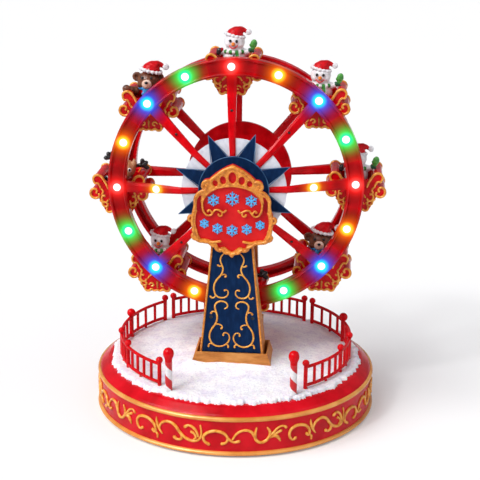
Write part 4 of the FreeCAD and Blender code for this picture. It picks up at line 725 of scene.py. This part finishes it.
def sign_pieces():
    """Raised beads, curls and leaves of the shield's frame, and snow crystals on its board."""
    def lift(points, back, thick, thin=0.6, bulb=0.0):
        flat = tapered(points, thick, thin, bulb)
        return [(x, FRAME_FACE + back, HUB + z, radius) for x, z, radius in flat]

    def level(points, back, radius):
        return [(x, FRAME_FACE + back, HUB + z, radius) for x, z in points]

    crown = level([(0, 21.4), (4.4, 19.9), (8.8, 17.2), (12.8, 13.8), (16.2, 11)], 0, 1.25)
    ear = lift([(15.6, 9.8), (18, 10.6), (20.6, 9.8), (22, 7.6), (21.6, 5.2), (19.9, 4.6), (18.9, 6.1),
                (19.9, 7.2)], 0, 1.3, 1, 1.2)
    side = level([(19.6, 3.6), (24.8, 1.2), (27.7, -3.2), (27.8, -8.4), (28.7, -13), (29.8, -18.6),
                  (29.2, -26), (28.2, -31.4), (25.6, -35.2), (21, -36.8), (17.4, -37.2)], 0, 1.2)
    hook = lift([(19, -36.9), (15, -36.9), (11.4, -36.5), (8.6, -36)], 0, 1.1, 0.8, 1)
    foot = level([(17.2, -37.4), (14.8, -39.4), (12, -40.6), (10.4, -43), (7.2, -42.9), (4.6, -45.2),
                  (1.8, -45.2), (0, -46.8)], 0, 1.2)
    inner = level([(0, 7), (6.6, 6.3), (14, 3.9), (19.6, -0.8), (22.2, -5.5), (22.2, -10.4),
                   (20.8, -14.4)], 0.4, 0.8)
    inner += lift([(18.4, -16.3), (16, -15.8), (14.4, -13.8), (12.8, -12), (10.4, -11.8),
                   (8.2, -12.8), (6.4, -13.5), (4.6, -12)], 0.6, 0.75, 0.7, 0.9)
    curl = lift([(15.2, -14.4), (16.2, -12.6), (17.6, -12.1), (18.2, -13.2)], 0.6, 0.7, 0.6, 0.95)
    twig = lift([(7.6, -13.6), (7.7, -15.7), (9.4, -16.5), (10.4, -15.1)], 0.6, 0.65, 0.55, 0.85)
    nub = lift([(29.4, -17.4), (31.8, -17.2), (32.6, -19.6), (30.6, -21.4)], 0.3, 1.3, 0.9, 0.9)
    low_nub = lift([(28, -30.4), (29.6, -32), (28.4, -34.6), (26, -34.8)], 0.3, 1.5, 1, 1.1)
    tip = level([(0, -45.6), (0, -47.6)], 0.2, 1.5)
    tubes("sign_scrolls", mirrored([crown, ear, side, hook, foot, inner, curl, twig, nub, low_nub]) + [tip],
          gold, "base")
    rims = []
    for x, z, wide, high in ((0, 13, 3, 4.6), (7.1, 11.1, 2.5, 3.3), (13, 8.7, 2.2, 2.6)):
        for hand in ((0,) if x == 0 else (1, -1)):
            ring = [(hand * x + (wide + 0.45) * c, FRAME_FACE - 0.05, HUB + z + (high + 0.45) * s, 0.5)
                    for c, s in circle(12)]
            rims.append(ring + ring[:1])
    tubes("crown_rims", rims, gold, "base")
    # Dark red crescent plates on the frame's sides; their darker red is painted shade.
    points = []
    outline = [(22.8, -0.6), (24.6, -1.2), (26.4, -4.2), (26.6, -8.6), (26.6, -12.2), (24.9, -13),
               (23.9, -9.8), (23.6, -5)]
    for hand in (-1, 1):
        points += [(hand * x, FRAME_FACE - 0.26, HUB + z) for x, z in outline]
    count = len(outline)
    faces = [tuple(range(count)), tuple(range(2 * count - 1, count - 1, -1))]
    inlay = link("sign_crescents", mesh_data("sign_crescents", points, faces, False), crescent_shade_red, "base")
    solid = inlay.modifiers.new("Plate", "SOLIDIFY")
    solid.thickness = 0.12 * MM
    solid.offset = 0
    crystals = []
    for x, z, reach in ((-14.2, -4.6, 4.6), (0, -3.2, 5.4), (14.2, -4.6, 4.6), (-21, -23, 3.6),
                        (-11, -26.6, 4.1), (0, -27.8, 4.5), (11, -26.6, 4.1), (21, -23, 3.6)):
        for i in range(6):
            angle = radians(90 + 60.0 * i)
            out = Vector((cos(angle), sin(angle)))
            aside = Vector((-out.y, out.x))
            spots = [Vector((0, 0)), out * reach * 0.55, out * reach]
            arm = [(x + p.x, BOARD_FACE, HUB + z + p.y, w) for p, w in zip(spots, (0.6, 0.6, 0.45))]
            crystals.append(arm)
            for hand in (-1, 1):
                stem = out * reach * 0.5
                end = out * reach * 0.78 + aside * hand * reach * 0.3
                crystals.append([(x + p.x, BOARD_FACE, HUB + z + p.y, 0.42) for p in (stem, end)])
    tubes("sign_crystals", crystals, sky_blue, "base")


def wheel_pieces():
    """Glossy beads along the front rim's edges, and black plugs that make the six open spoke holes dark."""
    low, high = corners("wheel_front")
    rim = (high[2] - low[2]) / 2.0
    face = corners("lights_white")[0][1] + 0.8
    for name, reach, thick in (("rim_bead_outer", rim - 1.1, 0.95), ("rim_bead_inner", 86.1, 0.7)):
        tubes(name, [hoop(reach, face, thick, 64)], bead_red, "wheel")
    lamps = [vertex.co / MM for vertex in nodes["lights_amber"].data.vertices]
    front = min(spot.y for spot in lamps if hypot(spot.x, spot.z - HUB) < SPOKE_LAMP + 10.0) + 1.6
    sockets = []
    for number in range(8):
        if number % 4:
            angle = radians(45 * number + TURN)
            x, z = SPOKE_LAMP * cos(angle), HUB + SPOKE_LAMP * sin(angle)
            sockets.append([(x, front, z, 1.05), (x, front + 3.0, z, 1.05)])
    tubes("open_sockets", sockets, figure_black, "wheel")


def star_pieces():
    """Lighter blue tubes along the star's points and round its cap, whose colour is a painted highlight on
    the edges.
    """
    paths = []
    valley, tip = 26.9, 46.2
    for number in range(8):
        middle = radians(22.5 + 45 * number + TURN)
        for hand in (-1, 1):
            root = middle + hand * radians(14.8)
            steps = []
            for share in (0.0, 0.5, 1.0):
                x = valley * cos(root) * (1 - share) + tip * cos(middle) * share
                z = valley * sin(root) * (1 - share) + tip * sin(middle) * share
                steps.append((x, -33.1, HUB + z, 0.34 - 0.08 * share))
            paths.append(steps)
    tubes("star_edge_highlights", paths + [hoop(26.5, -34.1, 0.38, 48)], edge_highlight_blue, "wheel")


def sleigh_spot(number):
    """Middle of a sleigh's pins."""
    angle = radians(90 + 45 * number + TURN)
    return Vector((SLEIGH_CIRCLE * cos(angle), 9.8, HUB + SLEIGH_CIRCLE * sin(angle))) * MM


# Scrolls on a sleigh's left half, measured from its pins
SLEIGH_SCROLLS = (
    ([(-15.7, -8.4), (-15.3, -10.2), (-17.3, -11.8), (-20.1, -11.6), (-22, -9.6), (-22.1, -6.8),
      (-20.5, -4.7), (-18.1, -4.8), (-17.1, -6.1), (-17.7, -7.6)], 1.05, 0.8, 1, 0.9),
    ([(-8.3, -4.3), (-9.3, -1.3), (-11.5, 2.7), (-14.1, 5.9), (-16.9, 6.7), (-19.4, 5.1), (-19.8, 2.1),
      (-18.5, -0.3)], 1.05, 0.75, 0.9),
    ([(-18.5, -0.1), (-16.5, -0.1), (-14.7, -2.3), (-14.1, -4.3)], 0.85, 0.7),
    ([(-13.8, -4.4), (-12.2, -6.4), (-13, -8.8), (-11, -10.2)], 0.8, 0.65, 0.8),
    ([(-10.9, -9.6), (-12.9, -10.4), (-13.4, -12.6), (-12, -14.8), (-9.8, -15), (-8.6, -13.6)], 0.9, 0.7,
      0.9, 0.85),
    ([(-14.8, -13.8), (-13.2, -15.2), (-12.4, -17.4), (-10.2, -18.6), (-8.6, -17), (-9.4, -15.8)], 0.95,
      0.75, 0.9),
    ([(-9.4, -19.6), (-9.6, -22), (-7, -23), (-4.6, -21.6), (-2.4, -22.8), (0, -22)], 0.95, 0.75),
    ([(-7.4, -12.6), (-5, -9.8), (-2, -9.4), (0, -11.4)], 0.75, 0.6, 0.8),
    ([(0, -20.6), (0, -18), (0, -15.4)], 0.8, 0.6, 0.9),
    ([(-6.6, -17.6), (-4.4, -16.4), (-3, -18), (-4.6, -19.2)], 0.7, 0.55, 0.75),
)


def sleigh_trim_data():
    """Gold scrolls on both faces of a sleigh, for sharing by all eight."""
    flat = [tapered(*line) for line in SLEIGH_SCROLLS]
    paths = []
    for face in (-18.1, 18.1):
        for line in flat:
            paths += mirrored([[(x, face, z, radius) for x, z, radius in line]])
    return tube_data("sleigh_trim", paths)


def lumps_data(name, lumps):
    """One closed mesh of egg shapes, each x, y, z, one radius or three, and a lean about Y in degrees."""
    points = []
    faces = []
    rings, around = 10, 16
    for lump in lumps:
        radii = lump[3:6] if len(lump) > 4 else lump[3:] * 3
        turn = Euler((0.0, radians(lump[6] if len(lump) > 6 else 0.0), 0.0)).to_matrix()
        faces += bands(len(points), rings + 1, around)
        for i in range(rings + 1):
            tilt = pi * i / rings
            for c, s in circle(around):
                spot = Vector((sin(tilt) * c * radii[0], sin(tilt) * s * radii[1],
                               cos(tilt) * radii[2]))
                points.append(Vector(lump[:3]) + turn @ spot)
    return mesh_data(name, points, faces)


def sculpt(prefix, rows):
    """Melt egg shapes into sculpted forms, from rows of name, material, voxel, smoothing and lumps."""
    forms = []
    for name, material, voxel, smooth, lumps in rows:
        def modify(holder):
            melt = holder.modifiers.new("Melt", "REMESH")
            melt.mode = "VOXEL"
            melt.voxel_size = voxel * MM
            soften = holder.modifiers.new("Soften", "SMOOTH")
            soften.factor = 0.6
            soften.iterations = smooth

        data = lumps_data(prefix + name + "_lumps", lumps)
        data.materials.append(material)
        forms.append(settled(prefix + name, data, modify))
    return forms


def both(x, *rest):
    """A lump and its mirror image, the left one first."""
    return (-x, *rest), (x, *rest)


def hat_forms(prefix):
    """A drooping hat with a scalloped brim, tilted down to the right, and a pom-pom."""
    cone = [(0, 0.6, 19.6, 6.6, 6.4, 3.4), (0.3, 0.6, 21.6, 5.8, 5.6, 3), (1.6, 0.6, 23, 4.8, 4.4, 2.6),
            (4, 0.5, 23.6, 3.6, 3.2, 2.2), (6.6, 0.4, 23, 2.4, 2.2, 1.9), (8.8, 0.3, 22, 1.6, 1.6, 1.5)]
    brim = [(6.9 * c, 6.4 * s + 0.6, 18.9 - 1.6 * c, 1.55, 1.6, 1.4) for c, s in circle(15)]
    pompom = [(10.7, 0, 21.6, 2.1)]
    pompom += [(10.7 + 1.3 * c, y, 21.6 + 1.3 * s, 1) for c, s in circle(8) for y in (-0.9, 0.9)]
    return sculpt(prefix, [("hat", hat_red, 0.45, 4, cone), ("brim", fur_white, 0.4, 2, brim),
                           ("pompom", fur_white, 0.35, 1, pompom)])


def moved(forms, shift, grow, lean=0.0, about=(0.0, 0.0, 0.0)):
    """Shift, enlarge and tilt finished forms; a positive lean drops their right side."""
    pivot = Vector(about) * MM
    turn = Matrix.Rotation(radians(lean), 4, "Y")
    matrix = Matrix.Translation(pivot + Vector(shift) * MM) @ turn
    matrix = matrix @ Matrix.Scale(grow, 4) @ Matrix.Translation(-pivot)
    for form in forms:
        form.transform(matrix)
    return forms


def snowman_forms():
    """A snowman with a red hat, striped scarf, one black and one raised green mitten."""
    forms = sculpt("snowman_", [("body", figure_white, 0.45, 4, [
        (0, 0, 0.9, 9.4, 8.6, 9.2), (0, -0.3, 6.4, 8.2, 7.4, 6.2), (0, -0.3, 14.3, 7.9, 7.5, 7.3),
        *both(3.6, -3.6, 12.6, 3.4, 3.2, 3), *both(8.2, -1.6, 6.4, 3.2, 3, 2.8),
        (10.8, -3, 7.2, 2.2), (-9.8, -3, 6.6, 2.3, 2.2, 2)])])
    forms += hat_forms("snowman_")
    forms += sculpt("snowman_", [
        ("eyes", figure_black, 0.2, 1, [(-2.8, -7.5, 15.5, 1.05, 0.7, 1.25),
                                        (2.1, -7.6, 15.3, 1.05, 0.7, 1.25)]),
        ("nose", orange, 0.25, 2, [(-0.4, -7.4, 13.2, 1.5), (-0.5, -8.4, 13.1, 1.4),
                                   (-0.5, -9.4, 13, 1.1)])])
    smile = tube_data("snowman_smile", [[(-3.7, -7.2, 12.2, 0.4), (-2.4, -7.8, 10.8, 0.6),
                                         (-0.5, -8.1, 10.1, 0.65), (1.4, -7.8, 10.8, 0.6),
                                         (2.7, -7.2, 12.2, 0.4)]])
    smile.materials.append(pink)
    scarf = [(7.6 * c, 7.1 * s - 0.2, 7, 1.8, 1.8, 1.7) for c, s in circle(20)]
    scarf += [(3, -8, 5.2, 1.7, 0.9, 1.7), (3.5, -8.6, 3.3, 1.7, 0.9, 1.8),
              (3.8, -8.8, 1.4, 1.7, 0.9, 1.5)]
    return forms + [smile] + sculpt("snowman_", [
        ("scarf", green_scarf, 0.4, 2, scarf),
        ("raised_mitten", leaf_green, 0.35, 3, [
            (14, -3.6, 9.8, 1.9, 1.7, 1.3), (14.8, -3.6, 13.1, 2.7, 1.8, 3.6, 12),
            (12.6, -3.8, 11.8, 1, 1, 1.6, -30)]),
        ("green_cuff", pine_green, 0.35, 2, [
            (13, -3.3, 8.4, 2.6, 2, 1.3, 30), (11.4, -3.2, 7.6, 1.9, 2, 1.3, 30)]),
        ("black_mitten", figure_black, 0.35, 3, [
            (-11.2, -3.8, 7.4, 2.4, 2.1, 2.5), (-11.9, -4.4, 5.7, 1.6, 1.6, 1.7)]),
        ("red_cuff", hat_red, 0.35, 2, [(-9.8, -3.3, 7.8, 1.4, 2.3, 2.2, 20)]),
        ("buttons", figure_black, 0.2, 1, [(0, -8.6, 4.4, 0.8, 0.6, 0.8), (0, -8.9, 1.2, 0.8, 0.6, 0.8)])])


def bear_forms():
    """A brown bear with a red hat, cream muzzle, blue scarf, red jacket and outstretched paws."""
    head = [(0, -0.2, 14, 8, 7.4, 7.2), *both(3.8, -2.8, 12, 3.8, 3.6, 3.2)]
    for side, size in ((-1, 1.25), (1, 1)):
        head += [(side * 8.2 + 1.7 * size * c, 0.2, 17.0 + 1.7 * size * s, 1.05 * size, 1.2, 1.05 * size)
                 for c, s in circle(10)]
        head.append((side * 8.2, 0.9, 17, 1.8 * size, 0.8, 1.8 * size))
    face = sculpt("bear_", [
        ("head", brown, 0.4, 3, head),
        ("muzzle", cream, 0.35, 3, [(-0.3, -6.9, 12.8, 3.6, 2.5, 3.4), (-0.3, -7.6, 13.6, 2.4, 2, 2.1)]),
        ("nose", figure_black, 0.2, 1, [(-0.3, -9.6, 14.3, 1.3, 0.8, 1)]),
        ("eyes", figure_black, 0.2, 1, [(-3.4, -6.7, 17.2, 1, 0.6, 1.15),
                                        (2.9, -6.8, 17.2, 1, 0.6, 1.15)])])
    forms = moved(face, (-2.6, 0, -2.9), 1.1, 0, (0, 0, 6))
    forms += moved(hat_forms("bear_"), (-0.8, 0, 0), 1.1, 0, (0, 0, 6))
    scarf = [(7.0 * c, 6.6 * s - 0.2, 7.4, 1.8, 1.8, 1.5) for c, s in circle(20)]
    scarf += [(-2.6, -7.6, 5.6, 1.8, 0.9, 1.8), (-3.2, -8.2, 3.8, 1.9, 0.9, 1.7),
              (2.4, -7.6, 5.8, 1.6, 0.9, 1.6)]
    forms += moved(sculpt("bear_", [
        ("jacket", hat_red, 0.45, 3, [
            (0, 0, 4.2, 8.8, 7.6, 5.6), (-8, -1.6, 4.6, 3.8, 3.2, 3.2), (8, -1.6, 5.4, 3.6, 3.2, 3),
            (10.4, -3, 7.4, 2.6, 2.6, 2.4), (-9.6, -2.4, 4.6, 2.8, 2.6, 2.6)]),
        ("paws", brown, 0.4, 3, [
            (-10, -6, 6, 3.2, 3, 2.9), (-12.8, -8.4, 6.8, 3.1, 2.9, 2.8),
            (-15.6, -10.4, 7.8, 3.2, 2.9, 3),
            (12, -4, 9.6, 2.6, 2.4, 2.6), (12.6, -4, 11.6, 1.7, 1.6, 1.7)]),
        ("scarf", scarf_blue, 0.4, 2, scarf)]), (-1.6, 0, -0.8), 1.05)
    return forms + sculpt("bear_", [("trousers", trousers, 0.45, 3, [
        (0, 0, -1.6, 9.2, 8.4, 6.8), *both(3.8, -5, -0.6, 4, 4.4, 3.8)])])


def reindeer_forms():
    """A reindeer with branching antlers, pointed ears, a long muzzle and a red coat, its head tilted."""
    forms = sculpt("reindeer_", [("head", tan, 0.4, 3, [
        (0, -0.2, 14.4, 6.6, 6.4, 6.6), (0, -4.8, 12.2, 4.2, 4.4, 3.8), (0, -6.4, 11.4, 3.6, 3.4, 3),
        (4.4, -1.2, 17.6, 2.4), (4.8, -1.2, 19.4, 2), (4.7, -1.1, 21, 1.4), (4.4, -1, 22.4, 0.7),
        (-6, -0.6, 15.6, 2.2), (-7.6, -0.6, 16.2, 1.9), (-9, -0.5, 16.6, 1.4),
        (-10.2, -0.4, 16.6, 0.8)])])
    antlers = []
    for side, out, drop in ((-1, 2.4, 0.2), (1, 0.6, 1.6)):
        antlers += [[(side * (x + out), 1.6, z - drop, radius) for x, z, radius in line] for line in (
            [(3.4, 17.4, 1.2), (7.4, 19.8, 1.3), (10.2, 20.2, 1.7), (12.4, 22.8, 1.6)],
            [(9.6, 20.2, 1.4), (9.4, 23.8, 1.7)], [(10.6, 20, 1.4), (13.8, 19.2, 1.7)])]
    prongs = tube_data("reindeer_antlers", antlers)
    prongs.materials.append(figure_black)
    forms.append(prongs)
    forms += sculpt("reindeer_", [
        ("eyes", figure_black, 0.2, 1, [(-2.7, -6.6, 15.6, 0.9, 0.7, 1.1), (3, -6.6, 15.6, 0.9, 0.7, 1.1)]),
        ("eye_whites", figure_white, 0.25, 1, [
            (-2.8, -6.1, 15.4, 1.4, 0.8, 1.7), (3, -6.1, 15.4, 1.4, 0.8, 1.7)]),
        ("nose", figure_black, 0.25, 1, [(0, -10, 11.8, 1.5, 1.1, 1.1)])])
    moved(forms, (3.4, 0, -6.6), 1.12, 9, (0, 0, 14.4))
    collar = [(6.3 * c, 6.0 * s - 0.2, 1.8, 1.7, 1.7, 1.3) for c, s in circle(18)]
    return forms + sculpt("reindeer_", [
        ("coat", hat_red, 0.45, 3, [
            (0, 0, -4, 9.2, 8.2, 7.4), (0, -0.2, -1, 8, 7.2, 4),
            *both(8.4, -1.8, -0.8, 3.6, 3.4, 3),
            (11, -4.6, 0.6, 2.6, 3, 2.4), (-10.6, -4.6, 0.4, 2.6, 3, 2.4)]),
        ("cuffs", fur_white, 0.35, 1, [(12.2, -6.6, 1.6, 2.2, 1.4, 2), (-11.8, -6.6, 1.4, 2.2, 1.4, 2)]),
        ("hooves", figure_black, 0.35, 2, [(12.6, -8.2, 2, 2, 1.6, 1.8),
                                           (-12.2, -8.2, 1.8, 2, 1.6, 1.8)]),
        ("collar", fur_white, 0.4, 2, collar)])


def riders():
    """Dress each sleigh in gold and seat its figure."""
    trim = sleigh_trim_data()
    kinds = ("snowman", "bear", "reindeer", "snowman", "reindeer", "bear", "snowman", "snowman")
    forms = {"snowman": snowman_forms(), "bear": bear_forms(), "reindeer": reindeer_forms()}
    for number, kind in enumerate(kinds):
        spot = sleigh_spot(number)
        body = f"gondola_{number + 1}"
        link(f"sleigh_trim_{number + 1}", trim, scroll_gold, body, spot)
        for data in forms[kind]:
            part = link(f"{data.name}_{number + 1}", data, None, body, spot)
            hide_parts(f"figure_{number + 1}")


# Camera, light and floor

def camera():
    """The photograph's viewpoint."""
    yaw, pitch, roll = -0.07789, 0.29642, 0.01046
    spot = Vector((78.102, -968.175, 430.921)) * MM
    ahead = Vector((sin(yaw) * cos(pitch), cos(yaw) * cos(pitch), -sin(pitch)))
    right = Vector((cos(yaw), -sin(yaw), 0.0))
    above = right.cross(ahead)
    across = right * cos(roll) + above * sin(roll)
    upward = above * cos(roll) - right * sin(roll)
    data = bpy.data.cameras.new("photo_camera")
    data.sensor_fit = "HORIZONTAL"
    data.sensor_width = 36.0
    data.lens = 96.603
    data.clip_start = 0.01
    data.clip_end = 50.0
    scene.camera = link("photo_camera", data)
    turn = Matrix((across, upward, -ahead)).transposed()
    scene.camera.matrix_world = Matrix.Translation(spot) @ turn.to_4x4()


def seen_directly(tree):
    """One for rays that should see the plain white surround."""
    path = add(tree, "LightPath")
    return calc(tree, "MAXIMUM", path.outputs["Is Camera Ray"], path.outputs["Is Transmission Ray"])


def surroundings():
    """A plain pale world, soft suns and a pale floor that keeps the shadow."""
    world = bpy.data.worlds.new("studio")
    world.use_nodes = True
    scene.world = world
    tree = world.node_tree
    back = tree.nodes["Background"]
    wire(tree, mixed(tree, seen_directly(tree), (0.28, 0.28, 0.30), WHITE), back, "Color")
    tune(back, Strength=1.0)
    for name, energy, spread, turn in (("key", 2.7, 50, (41, 0, -54)), ("glint", 0.55, 6, (48, 0, -40)),
                                       ("fill", 0.6, 75, (62, 0, 60))):
        data = bpy.data.lights.new(name, "SUN")
        data.energy = energy
        data.angle = radians(spread)
        link(name, data).rotation_euler = [radians(a) for a in turn]
    size = 8000.0
    square = [(-size, -size, 0), (size, -size, 0), (size, size, 0), (-size, size, 0)]
    material, tree, shader = new_material("pale_floor")
    tune(shader, Base_Color=(0.76, 0.76, 0.76, 1.0), Roughness=0.6, Specular_IOR_Level=0.2)
    glow = add(tree, "Emission", Color=(*WHITE, 1.0))
    wire(tree, calc(tree, "MULTIPLY", seen_directly(tree), 0.19), glow, "Strength")
    lit = add(tree, "AddShader")
    wire(tree, shader.outputs[0], lit, 0)
    wire(tree, glow.outputs[0], lit, 1)
    wire(tree, lit.outputs[0], tree.nodes["Material Output"], "Surface")
    floor = link("floor", mesh_data("floor", square, [(0, 1, 2, 3)], False), material)
    scene.view_settings.view_transform = "Standard"


dress_nodes()
base_pieces()
snow_piece()
bollard_pieces()
tower_scrolls()
sign_pieces()
wheel_pieces()
star_pieces()
riders()
camera()
surroundings()
